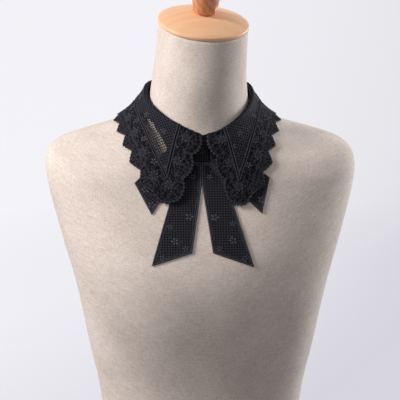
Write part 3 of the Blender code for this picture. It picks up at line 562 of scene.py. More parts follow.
class Stitching:
    """The thread laid on the flat pattern: how far inside it each point is, how high it stands, and how much
    highlight is painted on it.
    """

    def __init__(self, points):
        self.points = points
        self.order = np.argsort(points[:, 0])
        self.sorted_x = points[self.order, 0]
        self.cover = np.full(len(points), -9.0)
        self.height = np.full(len(points), THREAD_EDGE)
        self.stitch = np.zeros(len(points))
        self.painted_shine = np.zeros(len(points))

    def lay(self, cover, half_width, crown, stitch, where=slice(None), painted_shine=1.0):
        """Lays thread where cover is above zero: it rises from its edge to its crown, where a highlight is
        painted on it.
        """
        t = np.clip(cover / half_width, 0, 1)
        height = THREAD_EDGE + (crown - THREAD_EDGE) * np.sqrt(np.clip(1 - (1 - t) ** 2, 0, 1))
        over = (cover > 0) & (height >= self.height[where])
        self.painted_shine[where] = np.where(over, t * painted_shine, self.painted_shine[where])
        self.stitch[where] = np.where(over, stitch, self.stitch[where])
        self.height[where] = np.where(over, height, self.height[where])
        self.cover[where] = np.maximum(self.cover[where], cover)

    def cord(self, distance, half_width, crown, run, where=slice(None), painted_shine=1.0):
        self.lay(half_width - distance, half_width, crown, run, where, painted_shine)

    def ground(self, where):
        """A closed layer of flat stitches, in place of what was laid there."""
        self.cover[where] = np.maximum(self.cover[where], THREAD_EDGE)
        self.height[where] = THREAD_EDGE
        self.painted_shine[where] = 0.0
        self.stitch[where] = self.points[where].sum(axis=1)

    def cut(self, distance, where=slice(None)):
        """Takes away what has a distance below zero."""
        self.cover[where] = np.minimum(self.cover[where], distance)

    def near(self, centre, radius):
        first, last = np.searchsorted(self.sorted_x, (centre[0] - radius, centre[0] + radius))
        strip = self.order[first:last]
        return strip[np.abs(self.points[strip, 1] - centre[1]) < radius]

    def gap(self, where, centre):
        return np.hypot(*(self.points[where] - centre).T)

    def pinhole(self, centre, radius, reach):
        near = self.near(centre, reach)
        self.cut(self.gap(near, centre) - radius, near)

    def net(self, turn, pitch, half_width, where=slice(None)):
        """A square net, with a small knot at each crossing and a highlight painted along the middle of each
        thread.
        """
        x, y = self.points[where].T
        u = x * math.cos(turn) + y * math.sin(turn)
        v = y * math.cos(turn) - x * math.sin(turn)
        across = np.abs((u / pitch) % 1 - 0.5) * pitch
        down = np.abs((v / pitch) % 1 - 0.5) * pitch
        self.cord(across, half_width, NET_CROWN, v * NET_TWIST, where)
        self.cord(down, half_width, NET_CROWN, u * NET_TWIST, where)
        # painted highlight, brightest along each thread's middle
        line = 1 - (np.minimum(across, down) / NET_LINE) ** 2
        self.painted_shine[where] = np.where(self.cover[where] > 0, np.clip(line, 0, 1) * NET_SHINE, 0)

    def foliage(self, inside, pitch):
        """Small satin leaves in rows over a closed ground, with a pinhole beside each of them."""
        self.ground(inside)
        low, high = self.points[inside].min(0), self.points[inside].max(0)
        for k, y in enumerate(np.arange(low[1], high[1], pitch * 0.8)):
            for i, x in enumerate(np.arange(low[0] + (k % 2) * pitch / 2, high[0], pitch)):
                place = np.array([x, y])
                if not inside[self.near(place, 1.0)].any():
                    continue
                self.pinhole(place, 0.48, 1.2)
                heading = i * 2.4 + k * 1.1
                root = place + (0.45 * pitch, -0.1 * pitch)
                self.satin_leaf(root, heading, 0.95 * pitch, 0.98, 0.95)
                self.satin_leaf(root, heading + 2.1, 0.7 * pitch, 0.85, 0.85)

    def satin_leaf(self, root, heading, length, half_width, crown=0.95, painted_shine=1.0, veined=True):
        """A pointed leaf of satin stitch, most often in two halves that meet in a sunken vein."""
        tip = towards(heading)
        where = self.near(np.asarray(root) + tip * length / 2, length / 2 + half_width + 1)
        away = self.points[where] - root
        along = away @ tip
        across = np.abs(away[:, 0] * tip[1] - away[:, 1] * tip[0])
        t = np.clip(along / length, 0, 1)
        width = half_width * np.sin(math.pi * t**0.85) ** 0.8
        beyond = np.maximum(-along, along - length)
        cover = np.where(beyond > 0, -beyond - across, width - across)
        self.lay(cover, half_width, crown, along + across, where, painted_shine)
        if veined:
            vein = where[(cover > 0) & (across < 0.28) & (t > 0.15) & (t < 0.85)]
            self.height[vein] = np.minimum(self.height[vein], 0.55 * crown)
            # painted shade: the sunken vein gets less of the painted highlight
            self.painted_shine[vein] *= 0.3

    def ring(self, centre, radius, half_width, crown):
        """A corded eyelet."""
        where = self.near(centre, radius + half_width + 1)
        away = self.points[where] - centre
        gap = np.hypot(*away.T)
        turn = np.arctan2(away[:, 1], away[:, 0])
        self.cut(gap - radius + half_width, where)
        self.cord(np.abs(gap - radius), half_width, crown, turn * radius, where)

    def dot(self, centre, radius, crown):
        where = self.near(centre, radius + 1)
        gap = self.gap(where, centre)
        self.cord(gap, radius, crown, gap, where)

    def flower(self, centre, radius, turn, petals=7):
        """A flower: split satin petals round an eyelet, smaller ones between their tips, and pinholes."""
        where = self.near(centre, radius * 0.9)
        self.ground(where[self.gap(where, centre) < radius * 0.8])
        for k in range(petals):
            heading = turn + k * 2 * math.pi / petals
            root = centre + 0.17 * radius * towards(heading)
            self.satin_leaf(root, heading, radius * PETAL_LENGTHS[k % 3], radius * 0.2, 1.25, PETAL_SHINE)
            heading += math.pi / petals
            root = centre + 0.56 * radius * towards(heading)
            self.satin_leaf(root, heading + 0.25, radius * 0.52, radius * 0.14, 1.1, PETAL_SHINE)
            self.pinhole(centre + 0.47 * radius * towards(heading), radius * PINHOLE, radius * 0.1)
        self.ring(centre, radius * 0.14, 0.6, 1.3)

    def rosette(self, centre, radius, turn, petals=5):
        """A small flower of plain satin leaves laid on the net, longer and shorter by turns, round a dot."""
        for k in range(petals):
            heading = turn + k * 2 * math.pi / petals
            root = centre + 0.22 * radius * towards(heading)
            length = radius * (0.9, 0.68, 0.8)[k % 3]
            self.satin_leaf(root, heading, length, radius * 0.26, 1.3, ROSETTE_SHINE, veined=False)
        self.dot(centre, radius * 0.17, 1.2)


def numbered(bm):
    number = bm.verts.layers.int.new("number")
    for k, vert in enumerate(bm.verts):
        vert[number] = k


def closed_wall(bm, inner, outer, thread):
    """Closes a numbered sheet into a wall between its inner and outer places, with the thread's stitch run,
    and its painted shine on the outer face.
    """
    stitch, crown = (bm.verts.layers.float.new(name) for name in ("stitch", "crown"))
    number = bm.verts.layers.int["number"]
    raised = set(bmesh.ops.extrude_face_region(bm, geom=bm.faces[:], use_keep_orig=True)["geom"])
    for vert in bm.verts:
        k = vert[number]
        up = vert in raised
        vert.co = outer[k] if up else inner[k]
        vert[stitch] = thread.stitch[k]
        # the layer named crown carries the painted highlight, on the outer face alone
        vert[crown] = thread.painted_shine[k] if up else 0.0
    bmesh.ops.recalc_face_normals(bm, faces=bm.faces[:])
    if bm.calc_volume(signed=True) < 0:
        bmesh.ops.reverse_faces(bm, faces=bm.faces[:])
    return smoothed(bm)


def lace_meshes(names, pattern, cells, carry, lift, material):
    """Cuts the pattern's thread out of a fine grid, carries it onto the worn surface and gives it its depth.

    The grid lies along the net's threads, with a whole number of cells to each of its meshes. The cells that
    the pattern counts as its second part become a second piece, which meets the first one under a cord.
    """
    pitch = NET_PITCH / cells
    along = towards(pattern.axis)
    turn = np.stack([along, [-along[1], along[0]]])
    turned = pattern.outline @ turn.T
    low = np.floor((turned.min(0) - 2) / NET_PITCH) * NET_PITCH
    columns, rows = (int(n) for n in np.ceil((turned.max(0) + 2 - low) / pitch))
    bm = bmesh.new()
    bmesh.ops.create_grid(bm, x_segments=columns, y_segments=rows, size=0.5)
    share = np.array([vert.co.xy for vert in bm.verts]) + 0.5
    cell = np.round(share * (columns, rows)).astype(int)
    points = (low + cell * pitch) @ turn
    thread = pattern(points)
    cover = np.empty((columns + 1, rows + 1))
    cover[cell[:, 0], cell[:, 1]] = thread.cover
    kept = (cover[1:, 1:] + cover[:-1, 1:] + cover[1:, :-1] + cover[:-1, :-1]) > 0
    for _ in range(CORNER_ROUNDS):
        a, b, c, d = kept[:-1, :-1], kept[1:, 1:], kept[1:, :-1], kept[:-1, 1:]
        kept[1:, :-1] |= a & b & ~c & ~d
        kept[:-1, :-1] |= c & d & ~a & ~b
    kept = largest_part(kept)
    around = np.pad(kept, 1)
    solid = around[1:, 1:] & around[:-1, 1:] & around[1:, :-1] & around[:-1, :-1]
    rim = ~solid[cell[:, 0], cell[:, 1]]
    slope_x, slope_y = np.gradient(cover, pitch)
    slope = np.stack([slope_x[cell[:, 0], cell[:, 1]], slope_y[cell[:, 0], cell[:, 1]]], -1) @ turn
    shift = -thread.cover[:, None] * slope / np.maximum((slope**2).sum(-1), 0.04)[:, None]
    size = np.maximum(np.linalg.norm(shift, axis=1, keepdims=True), 1e-9)
    shift *= np.minimum(1, FURTHEST_SHIFT * pitch / size) * rim[:, None]
    height = np.where(rim, THREAD_EDGE, thread.height)
    corner = np.array([face.calc_center_median().xy for face in bm.faces]) + 0.5
    corner = np.floor(corner * (columns, rows)).astype(int)
    part = np.where(pattern.second_part((low + (corner + 0.5) * pitch) @ turn), 1, 0)
    part[~kept[corner[:, 0], corner[:, 1]]] = -1
    numbered(bm)
    made = []
    for chosen, name in enumerate(names):
        piece = bm.copy()
        number = piece.verts.layers.int["number"]
        faces = [face for face, at in zip(piece.faces[:], part) if at != chosen]
        bmesh.ops.delete(piece, geom=faces, context="FACES")
        used = np.array([vert[number] for vert in piece.verts])
        place, facing = carry((points + shift)[used])
        inner = dict(zip(used.tolist(), ((place + facing * lift) * MM).tolist()))
        outer = dict(zip(used.tolist(), ((place + facing * (lift + height[used])[:, None]) * MM).tolist()))
        made.append(add_mesh(name, closed_wall(piece, inner, outer, thread), material))
    bm.free()
    return made


def largest_part(kept):
    """The cells that hang together by their sides with the most others."""
    label = np.where(kept, np.arange(kept.size).reshape(kept.shape) + 1, 0)
    while True:
        before = label.copy()
        for axis in (0, 1):
            for flip in (slice(None), slice(None, None, -1)):
                turned = np.moveaxis(label, axis, 0)[flip]
                for k in range(1, len(turned)):
                    both = (turned[k] > 0) & (turned[k - 1] > 0)
                    turned[k] = np.where(both, np.maximum(turned[k], turned[k - 1]), turned[k])
        if (label == before).all():
            break
    values, counts = np.unique(label[label > 0], return_counts=True)
    return label == values[counts.argmax()]


def lace_thread():
    """Black polyester thread: the stitches run across each cord, and the raised threads are lightened by a
    highlight painted into their colour.
    """
    made, shader, tree = new_material(
        "black_lace_thread", (0.018, 0.018, 0.021), 0.55, Specular_IOR_Level=0.04
    )
    run, raised = add_node(tree, "Attribute"), add_node(tree, "Attribute")
    run.attribute_name, raised.attribute_name = "stitch", "crown"

    def combined(operation, *given):
        node = add_node(tree, "Math")
        node.operation = operation
        for socket, value in zip(node.inputs, given):
            if isinstance(value, float):
                socket.default_value = value
            else:
                tree.links.new(value, socket)
        return node.outputs[0]

    strand = combined("SINE", combined("MULTIPLY", run.outputs["Fac"], 2 * math.pi / STITCH_LENGTH))
    place = add_node(tree, "TexCoord").outputs["Object"]
    noise = add_node(tree, "TexNoise", Scale=900.0, Detail=2.0, Vector=place)
    fibre = combined("MULTIPLY_ADD", strand, 0.35, noise.outputs["Fac"])
    # the crown attribute is the painted shine, which lightens the thread's colour
    tone = combined("MULTIPLY", combined("MULTIPLY_ADD", fibre, 0.12, raised.outputs["Fac"]), 0.5)
    colour_between(tree, tone, THREAD_TONES, shader.inputs["Base Color"])
    emboss(tree, shader, fibre, 0.5, 0.00025)
    return made


black_lace = lace_thread()

# ------------------------------------------------------------ the two leaves
# Each leaf falls from the neck to a point in front and to a hem of pointed teeth round the shoulder. A double
# cord parts the plain net at the neck from the flowered border, and the front edge runs in round lobes.
FOLD_HALF_WIDTH = 62.6
FOLD_HALF_DEPTH = 64.5
FOLD_FRONT_HEIGHT = 440.5
FOLD_RISE = {
    "left": (
        (0, 0), (17, 6), (29, 11.5), (43, 18), (61, 27), (79, 39), (92, 50), (105, 57), (120, 61.5),
        (140, 65), (180, 67),
    ),
    "right": (
        (0, 0), (17, 6), (29, 11.5), (43, 18), (61, 27), (79, 38), (92, 47), (105, 55), (120, 60.5),
        (140, 64.5), (180, 67),
    ),
}
NECK_LEAN = (
    (440, -0.5), (450, -1.07), (460, -1.76), (470, -2.26), (480, -2.47), (490, -2.45), (500, -2.2),
    (508, -1.87),
)
FALL_HEADING = ((0, 0), (25, 19), (50, 43), (75, 72), (90, 90), (120, 120), (180, 180))
ROLL_RADIUS = 2.4
ROLL_TOP = -ROLL_RADIUS * math.pi / 2
ROLL_STEPS = 16
ANGLE_STEP = 1.5
BATCH = 20000  # points that are measured at a time
DEEPEST = 130.0  # depth and reach that the surface is worked out for
FURTHEST_OUT = 125.0
UNROLLED = (2, 60)  # depths between which a strip's widening is measured
FALL_REACH = 50.0
FALL_CLEARANCE = 0.6
BOW_CLEARANCE = 3.2
OVER_THE_BOW = (38, 72)  # angles between which the leaf comes down from the bow
CLEARANCE_GROWS = (3, 22)
LACE_LIFT = 0.2
HEM = (
    (36.7, 94), (40, 88), (47, 75.5), (53, 65), (59, 56.5), (66, 49.5), (77, 44), (90, 43), (120, 44.5),
    (150, 46), (180, 46.5),
)
REACH_GROWS = (40, 60)  # angles between which a side's own reach sets in, and goes again
REACH_FADES = (100, 175)
POINT_DEPTH = 95.5
POINT_BULGE = 6.5
BACK_EDGE = 179.86
TOOTH_PITCH = 27.0
TOOTH_HEIGHT = 9.0
LOBE_PITCH = 28.5
RIB_INSET = 26.0
INNER_RIB = ((24.0, 1.5), (29.5, 70.0))
NET_THREAD = 1.26  # half the width of a net thread, which thins towards the outer rib
OPEN_NET = ((22, 0), (29, 18), (60, 15.5), (84, 7.5), (92, 0))  # run along the outer rib, width
LEAF_CELLS = 6  # of the grid that a leaf is cut from, in one mesh of its net
FOLIAGE_PITCH = 4.6
FLOWER_RADIUS = 9.6
FLOWER_INSET = 11.6
FLOWER_SPACING = 1.85 * FLOWER_RADIUS
NET_FLOWERS = ((38, 19), (62, 14), (88, 10), (116, 11), (144, 12), (168, 13))  # angle, depth
RIB_SPACING = 1.5  # of each of its cords from the rib's middle
RIB_GROUND = 2.3
RIB_CORD = 0.72
TOOTH_FANS = ((-9.0, 0.30, 6.0), (-3.5, 0.36, 6.4), (1.0, 0.42, 6.4))  # place outwards, spread, length


def fold_points(angles):
    """The fold's line round the neck, and the way that the leaf falls from it."""
    turn = np.radians(angles)
    size = np.abs(angles)
    left = monotone(size, FOLD_RISE["left"]) + monotone(size, STAND_LIFT["left"])
    right = monotone(size, FOLD_RISE["right"]) + monotone(size, STAND_LIFT["right"])
    rise = np.where(angles < 0, left, right)
    height = FOLD_FRONT_HEIGHT + rise
    x = FOLD_HALF_WIDTH * np.sin(turn) + monotone(height, NECK_LEAN)
    y = NECK_MIDDLE_Y - FOLD_HALF_DEPTH * np.cos(turn)
    heading = np.radians(monotone(size, FALL_HEADING)) * np.where(angles < 0, -1, 1)
    return np.stack([x, y, height], -1), np.stack([np.sin(heading), -np.cos(heading)], -1)


class Fall:
    """The surface of one worn leaf over the form, with its flat pattern."""

    def __init__(self, sign, flare):
        self.sign = sign
        self.angles = np.arange(0.0, 181.0, ANGLE_STEP)
        self.depths = np.arange(0.0, DEEPEST) + ROLL_TOP
        fold, heading = fold_points(self.angles * sign)
        out = 2 * ROLL_RADIUS + np.arange(0.0, FURTHEST_OUT)
        x = fold[:, :1] + out * heading[:, :1]
        y = fold[:, 1:2] + out * heading[:, 1:2]
        down = Vector((0, 0, -1))
        ground = np.empty_like(x)
        for (i, j), _ in np.ndenumerate(x):
            hit = form_tree.ray_cast(Vector((x[i, j], y[i, j], fold[i, 2])) * MM, down)[0]
            ground[i, j] = hit.z / MM if hit else ground[i, j - 1] - 3.0
        decay = np.exp(-(out - out[0]) / flare)
        last = math.exp(-FALL_REACH / flare)
        z = ground + (fold[:, 2:] - ground[:, :1]) * np.maximum(decay - last, 0) / (1 - last)
        turn = np.linspace(0, math.pi, ROLL_STEPS + 1)[:-1]
        roll_out = ROLL_RADIUS * (1 - np.cos(turn))
        profile = np.stack(
            [
                np.concatenate([fold[:, :1] + roll_out * heading[:, :1], x], 1),
                np.concatenate([fold[:, 1:2] + roll_out * heading[:, 1:2], y], 1),
                np.concatenate([fold[:, 2:] + ROLL_RADIUS * np.sin(turn), z], 1),
            ],
            -1,
        )
        run = np.concatenate(
            [np.zeros((len(fold), 1)), np.cumsum(np.linalg.norm(np.diff(profile, axis=1), axis=2), axis=1)], 1
        )
        run -= run[:, [ROLL_STEPS // 2]]
        grid = np.stack(
            [[np.interp(self.depths, run[i], line[:, k]) for k in range(3)] for i, line in enumerate(profile)]
        ).transpose(0, 2, 1)
        self.lay_flat(grid)
        angle, depth = np.meshgrid(self.angles, self.depths, indexing="ij")
        clear = FALL_CLEARANCE + (BOW_CLEARANCE - FALL_CLEARANCE) * (1 - ease(angle, *OVER_THE_BOW))
        clear *= ease(depth, *CLEARANCE_GROWS)
        self.points = grid + clear[..., None] * self.facing(grid)
        self.normals = self.facing(self.points)

    def facing(self, grid):
        return unit(np.cross(np.gradient(grid, axis=1), np.gradient(grid, axis=0)) * self.sign)

    def lay_flat(self, grid):
        """Unrolls the surface strip by strip round the neck: each strip's top in the flat, and its turn."""
        along = unit(np.gradient(grid, axis=1))
        along = unit(along[1:] + along[:-1])
        step = np.diff(grid, axis=0)
        forward = (step * along).sum(-1)
        across = np.sqrt(np.maximum((step**2).sum(-1) - forward**2, 0))
        used = (self.depths > UNROLLED[0]) & (self.depths < UNROLLED[1])
        top = int(np.argmin(np.abs(self.depths)))
        starts, turns = [np.zeros(2)], [0.0]
        for i in range(len(step)):
            widening, width = np.polyfit(self.depths[used], across[i, used], 1)
            heading = turns[-1] + widening / 2
            side = towards(heading)
            down = np.array([side[1], -side[0]])
            starts.append(starts[-1] + width * side + forward[i, top] * down)
            turns.append(turns[-1] + widening)
        self.starts = np.array(starts)
        self.turns = np.array(turns)

    def flat(self, angle, depth):
        angle, depth = np.broadcast_arrays(np.asarray(angle, float), np.asarray(depth, float))
        turn = np.interp(angle, self.angles, self.turns)
        x = np.interp(angle, self.angles, self.starts[:, 0]) + depth * np.sin(turn)
        y = np.interp(angle, self.angles, self.starts[:, 1]) - depth * np.cos(turn)
        return np.stack([x, y], -1)

    def measure(self, flat):
        """The angle and depth of places in the flat pattern."""
        down = np.stack([np.sin(self.turns), -np.cos(self.turns)], -1)
        angle, depth = np.empty(len(flat)), np.empty(len(flat))
        for first in range(0, len(flat), BATCH):
            batch = slice(first, first + BATCH)
            part = flat[batch]
            away = part[:, None] - self.starts
            side = down[:, 0] * away[..., 1] - down[:, 1] * away[..., 0]
            passed = np.argmax(side < 0, axis=1)
            i = np.where(side.min(axis=1) < 0, passed, len(self.turns) - 1) - 1
            i = np.clip(i, 0, len(self.turns) - 2)
            row = np.arange(len(part))
            t = side[row, i] / (side[row, i] - side[row, i + 1])
            start = self.starts[i] + t[:, None] * (self.starts[i + 1] - self.starts[i])
            turn = self.turns[i] + t * (self.turns[i + 1] - self.turns[i])
            angle[batch] = self.angles[i] + t * (self.angles[i + 1] - self.angles[i])
            gap = part - start
            depth[batch] = gap[:, 0] * np.sin(turn) - gap[:, 1] * np.cos(turn)
        return angle, depth

    def __call__(self, flat):
        angle, depth = self.measure(flat)
        column = np.clip(angle / ANGLE_STEP, 0, len(self.angles) - 1.001)
        row = np.clip(depth - self.depths[0], 0, len(self.depths) - 1.001)
        return read_between((self.points, self.normals), column, row)


def bumps_on(path, pitch, height, points, sharpness):
    """The path with a row of bumps to its right."""
    run = path_length(path)
    count = max(1, round(run / pitch))
    line = along_path(path, run / (count * points))
    t = np.linspace(0, count, len(line)) % 1
    rise = (1 - np.abs(2 * t - 1)) ** sharpness if sharpness < 1 else 1 - np.abs(2 * t - 1) ** sharpness
    rise[[0, -1]] = 0
    return line + side_of(line) * (height * rise)[:, None]


class LeafPattern:
    """What the embroidery machine stitches for one leaf."""

    def __init__(self, fall, side):
        self.fall = fall
        self.thin = side["thread"]
        top = fall.flat(side["edge"], 0.0)
        point = fall.flat(side["point"], POINT_DEPTH)
        self.front = along_path(np.array([point, top]), 2.0)[::-1]
        angles = np.linspace(HEM[0][0], BACK_EDGE, 220)
        extra = side["reach"] * ease(angles, *REACH_GROWS) * (1 - ease(angles, *REACH_FADES))
        self.hem = fall.flat(angles, monotone(angles, HEM) + extra)
        tip = along_path(np.array([self.front[-1], self.hem[0]]), 1.5)
        tip = tip + side_of(tip) * np.sin(np.linspace(0, math.pi, len(tip)))[:, None] * POINT_BULGE
        self.tip = tip
        lobes = bumps_on(self.front, LOBE_PITCH, side["lobe"], 24, 2.6)
        teeth = bumps_on(self.hem, TOOTH_PITCH, TOOTH_HEIGHT, 20, 0.8)
        back_depth = fall.measure(teeth[-1:])[1][0]
        back = fall.flat(BACK_EDGE, np.linspace(back_depth, ROLL_TOP, 40))
        inner = fall.flat(np.linspace(BACK_EDGE, side["edge"], 160), ROLL_TOP)
        self.lobes, self.teeth = lobes, teeth
        self.outline = np.concatenate([lobes[:-1], tip[:-1], teeth[:-1], back[:-1], inner])
        ribs = fall.flat(*np.array(INNER_RIB).T)
        self.inner_rib = along_path(ribs, 2.0)
        outer = self.hem - side_of(self.hem) * RIB_INSET
        outer = outer[int(np.argmin(np.linalg.norm(outer - ribs[1], axis=1))) + 4 :]
        self.outer_rib = along_path(np.concatenate([ribs[1:], outer]), 2.0)
        neck = fall.flat(np.linspace(179.99, 23.9, 90), -9.0)
        self.net_outline = np.concatenate([self.inner_rib, self.outer_rib, neck])
        lower = self.outer_rib[3] - self.outer_rib[18]
        self.axis = math.atan2(lower[1], lower[0])
        self.centres, self.headings = self.flower_places()

    def flower_places(self):
        centres, headings = [], []
        for foot, away in spots(self.front, LOBE_PITCH, HALF) + spots(self.hem, LOBE_PITCH, HALF):
            centre = foot - away * FLOWER_INSET
            if all(np.hypot(*(centre - other)) > FLOWER_SPACING for other in centres):
                centres.append(centre)
                headings.append(math.atan2(away[1], away[0]))
        return centres, headings

    def __call__(self, points):
        made = Stitching(points)
        inside = self.second_part(points)
        net = np.flatnonzero(inside)
        gap, run = beside(points[net], self.outer_rib)
        open_share = ease(np.interp(run, *np.array(OPEN_NET).T) - gap, -0.5, 1.5)
        made.net(self.axis, NET_PITCH, NET_THREAD + (self.thin - NET_THREAD) * open_share, net)
        made.foliage(~inside, FOLIAGE_PITCH)
        self.border_motifs(made)
        self.net_motifs(made)
        self.ribs(made)
        self.edges(made)
        return made

    def second_part(self, points):
        """Which points lie in the net between the ribs and the neck."""
        return contains(self.net_outline, points)

    def border_motifs(self, made):
        for foot, away in spots(self.hem, LOBE_PITCH, WHOLE) + spots(self.front, LOBE_PITCH, WHOLE):
            self.spray(made, foot, away)
        for centre, heading in zip(self.centres, self.headings):
            made.flower(centre, FLOWER_RADIUS, heading + math.pi / 8)
            for step in range(-2, 3):
                turn = heading + step * 0.55
                root = centre + FLOWER_RADIUS * 1.02 * towards(turn)
                made.satin_leaf(root, turn + 0.5, 4.8, 1.15, 1.0)

    def spray(self, made, foot, away):
        """Between two flowers: a small rosette inside and a pair of leaves towards the edge."""
        heading = math.atan2(away[1], away[0])
        made.rosette(foot - away * 20.0, 4.6, heading)
        stem = foot - away * 10.5
        made.satin_leaf(stem, heading, 8.8, 1.5, 0.9)
        for side in (-1, 1):
            made.satin_leaf(stem + away * 0.5, heading + side * 0.85, 7.0, 1.35, 0.9)

    def net_motifs(self, made):
        """Small flowers scattered on the net."""
        for angle, depth in NET_FLOWERS:
            made.rosette(self.fall.flat(angle, depth), 4.2, angle)

    def ribs(self, made):
        """Two cords side by side with a flat channel between them."""
        for path in (self.inner_rib, self.outer_rib):
            gap, run = beside(made.points, path)
            near = np.flatnonzero(gap < RIB_GROUND)
            made.ground(near)
            # a faint highlight painted on the flat channel between the cords
            made.painted_shine[near] = 0.22
            gap, run = gap[near], run[near]
            made.cord(np.abs(gap - RIB_SPACING), RIB_CORD, 1.4, run + gap, near, 1.05)

    def edges(self, made):
        """Corded edges: lobes in front, teeth of satin leaves along the hem, and a bound neck edge."""
        points = made.points
        signed, run = inside_edge(points, self.outline)
        for foot, out in spots(self.hem, TOOTH_PITCH, HALF):
            heading = math.atan2(out[1], out[0])
            shift = np.array([-out[1], out[0]])
            for row, spread, length in TOOTH_FANS:
                for step in range(-3, 4):
                    root = foot + out * (row - 0.35 * abs(step)) + shift * step * 2.7
                    made.satin_leaf(root, heading + step * spread, length, 1.3, 1.15)
        made.cut(signed)
        near = np.flatnonzero(np.abs(signed) < 3)
        made.cord(np.abs(signed[near] - 0.75), 0.78, 1.05, run[near], near, 0.55)
        for path, spacing, size in ((self.lobes, 4.8, 2.1), (self.teeth, 4.2, 1.2), (self.tip, 4.8, 2.1)):
            fine = along_path(path, spacing)
            for spot, out in zip(fine, side_of(fine)):
                made.dot(spot - out * 0.5, size, 1.0)
        angle, depth = self.fall.measure(points)
        within = (depth > ROLL_TOP - 0.3) & (angle < BACK_EDGE + 0.1)
        made.cut(np.where(within, 9.0, -9.0))


SIDES = (
    {"name": "left", "sign": -1, "flare": 27.0, "edge": 3.4, "point": 22.0, "reach": 2.5, "lobe": 6.2,
     "thread": 0.40},
    {"name": "right", "sign": 1, "flare": 19.0, "edge": 6.2, "point": 23.0, "reach": -2.5, "lobe": 5.0,
     "thread": 1.05},
)
for side in SIDES:
    fall = Fall(side["sign"], side["flare"])
    pattern = LeafPattern(fall, side)
    names = (f"leaf_{side['name']}_border", f"leaf_{side['name']}_net")
    border, net = lace_meshes(names, pattern, LEAF_CELLS, fall, LACE_LIFT, black_lace)
    net_share = outline_area(pattern.net_outline) / outline_area(pattern.outline)
    for cloth, outline, share in ((border, pattern.outline, 1 - net_share), (net, pattern.net_outline, 1.0)):
        finished(cloth, f"collar_leaf_{side['name']}")

# ------------------------------------------------------------ the bow
# A strip of the same lace, laid flat: two short ends to the sides and two long ones down, all cut on the
# slant with corded edges, and a short strip wrapped round the middle.
BOW_X = -2.5
BOW_LIFT = 0.8
BOW_ENDS = (
    ("wing_left", -1, ((11, 14), (11, 30.5), (49.5, 81), (59, 97), (79, 57.5), (68.5, 46.5)),
     ((58.5, 85), (66, 66), (42, 50))),
    ("wing_right", 1, ((11, 14), (11, 31.9), (26.1, 53.1), (56, 81), (70, 96), (80.5, 51), (71.5, 44)),
     ((70, 79), (68, 61), (44, 50))),
    ("tail_left", -1, ((0.03, 31.35), (0.12, 60), (12.5, 143), (59.5, 158.5), (31, 57.5), (10.5, 31.35)),
     ((15, 99.5), (32.2, 129.5), (47, 149), (20, 138), (10, 50), (38, 112))),
    ("tail_right", 1, ((0.03, 31.35), (0.12, 60), (11.5, 143), (59.3, 160), (28, 56), (10.5, 31.35)),
     ((14.7, 100.4), (35, 128.5), (48.6, 150), (19, 138), (9, 50), (35, 108))),
)
CHEST_STEP = 2.0
BOW_CELLS = 6  # of the grid that a bow end is cut from, in one mesh of its net
BOW_THREAD = 1.22
KNOT_SHADE_FADE = (38, 66)  # run down the front over which the shade painted under the knot fades out


class Chest:
    """The form's front, laid flat: across, and down the slope from the neckline."""

    def __init__(self):
        self.across = np.arange(-96.0, 97.0, CHEST_STEP)
        heights = np.arange(FOLD_FRONT_HEIGHT, 262.0, -CHEST_STEP)
        forward = Vector((0, 1, 0))
        grid = np.empty((len(self.across), len(heights), 3))
        for i, x in enumerate(self.across):
            for j, z in enumerate(heights):
                hit = form_tree.ray_cast(Vector((x, -300.0, z)) * MM, forward)[0]
                grid[i, j] = (x, hit.y / MM, z)
        middle = grid[len(self.across) // 2]
        self.run = np.concatenate([[0], np.cumsum(np.linalg.norm(np.diff(middle, axis=0), axis=1))])
        self.points = grid
        self.normals = unit(np.cross(np.gradient(grid, axis=1), np.gradient(grid, axis=0)) * -1)
        if self.normals[0, 0, 1] > 0:
            self.normals *= -1

    def __call__(self, flat):
        column = np.clip((flat[:, 0] - self.across[0]) / CHEST_STEP, 0, len(self.across) - 1.001)
        row = np.clip(np.interp(flat[:, 1], self.run, np.arange(len(self.run))), 0, len(self.run) - 1.001)
        return read_between((self.points, self.normals), column, row)


class BowPattern:
    """What the embroidery machine stitches for one end of the bow."""

    def __init__(self, side, corners, flowers):
        self.outline = np.array(corners, float) * (side, 1) + (BOW_X, 0)
        self.flowers = np.array(flowers, float) * (side, 1) + (BOW_X, 0)
        self.upright = abs(corners[0][0]) < 8
        root, tip = self.outline[:2].mean(axis=0), self.outline[-4:-1].mean(axis=0)
        self.axis = math.pi / 2 if self.upright else math.atan2(tip[1] - root[1], tip[0] - root[0])

    def __call__(self, points):
        made = Stitching(points)
        made.net(self.axis, NET_PITCH, BOW_THREAD)
        if self.upright:
            # painted shade: the tails' painted highlight is damped where the knot's shadow falls on them
            made.painted_shine *= 0.3 + 0.7 * ease(points[:, 1], *KNOT_SHADE_FADE)
        for k, centre in enumerate(self.flowers):
            size = 5.4 if k < 2 else 4.0
            made.rosette(centre, size, 0.7 * k)
            for step in (-1, 1):
                heading = self.axis + step * 1.9 + 0.4 * k
                foot = centre + (size + 0.3) * towards(heading)
                made.satin_leaf(foot, heading, 4.6, 1.2, 1.0)
        signed, run = inside_edge(points, self.outline)
        made.cut(signed)
        made.cord(np.abs(signed - 1.0), 1.0, 1.3, run, painted_shine=1.2)
        made.cord(np.abs(signed - 3.3), 0.7, 1.0, run, painted_shine=0.8)
        return made

    def second_part(self, points):
        return np.zeros(len(points), bool)


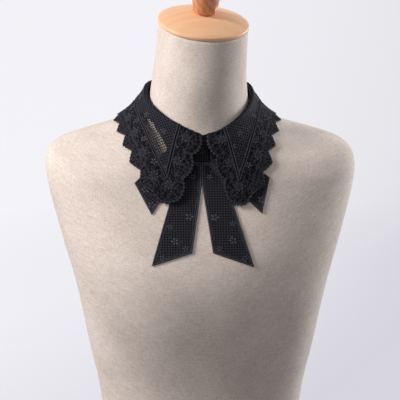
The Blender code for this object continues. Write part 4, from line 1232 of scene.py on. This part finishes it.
chest = Chest()
for end_name, side, corners, flowers in BOW_ENDS:
    pattern = BowPattern(side, corners, flowers)
    (end,) = lace_meshes((f"{end_name}_lace",), pattern, BOW_CELLS, chest, BOW_LIFT, black_lace)
    finished(end, f"bow_{end_name}")

KNOT_HALF_WIDTH = 10.8
KNOT_TOP = 6.5
KNOT_BOTTOM = 31.3
KNOT_THICKNESS = 4.2
KNOT_LIFT = 1.9  # by which its top stands off further, to clear the band
KNOT_LIFT_ENDS = (10.5, 15.0)
KNOT_STEP = 0.4


def knot_thread(points):
    """A net with one small flower in its middle."""
    made = Stitching(points)
    made.ground(slice(None))
    made.net(0.0, NET_PITCH, 0.6)
    # painted shade: the knot's net gets a third of the painted highlight, for the recess between the leaves
    made.painted_shine *= 0.35
    centre = np.array([0.0, 0.5])
    for k in range(6):
        made.dot(centre + 3.5 * towards(k * math.pi / 3), 1.2, 1.3)
    made.dot(centre, 1.0, 1.2)
    return made


def make_knot():
    """The wrap: soft upright folds that swell over the middle and tuck under at both edges."""
    half_height = (KNOT_BOTTOM - KNOT_TOP) / 2
    bm = bmesh.new()
    bmesh.ops.create_grid(
        bm,
        x_segments=round(2 * KNOT_HALF_WIDTH / KNOT_STEP),
        y_segments=round(2 * half_height / KNOT_STEP),
        size=1.0,
    )
    numbered(bm)
    flat = np.array([vert.co.xy for vert in bm.verts])
    across, up = flat.T
    x = BOW_X + across * KNOT_HALF_WIDTH * (1 - 0.03 * (1 - up**2))
    run = (KNOT_TOP + KNOT_BOTTOM) / 2 - up * half_height
    place, facing = chest(np.stack([x, run], -1))
    thread = knot_thread(flat * (KNOT_HALF_WIDTH, half_height))
    dome = KNOT_THICKNESS * (0.35 + 0.65 * (1 - across**4) * (1 - up**4))
    folds = 0.45 * np.cos(across * 9.0 + 0.6 * up) * (1 - up**4) * (1 - across**2)
    swell = dome + folds + (thread.height - THREAD_EDGE) * (1 - across**8) * (1 - up**8)
    lift = BOW_LIFT + KNOT_LIFT * (1 - ease(run, *KNOT_LIFT_ENDS))
    inner, outer = (
        ((place + facing * away[:, None]) * MM).tolist() for away in (lift, lift + swell)
    )
    wall = closed_wall(bm, inner, outer, thread)
    return finished(add_mesh("knot_wrap", wall, black_lace), "bow_knot")


make_knot()
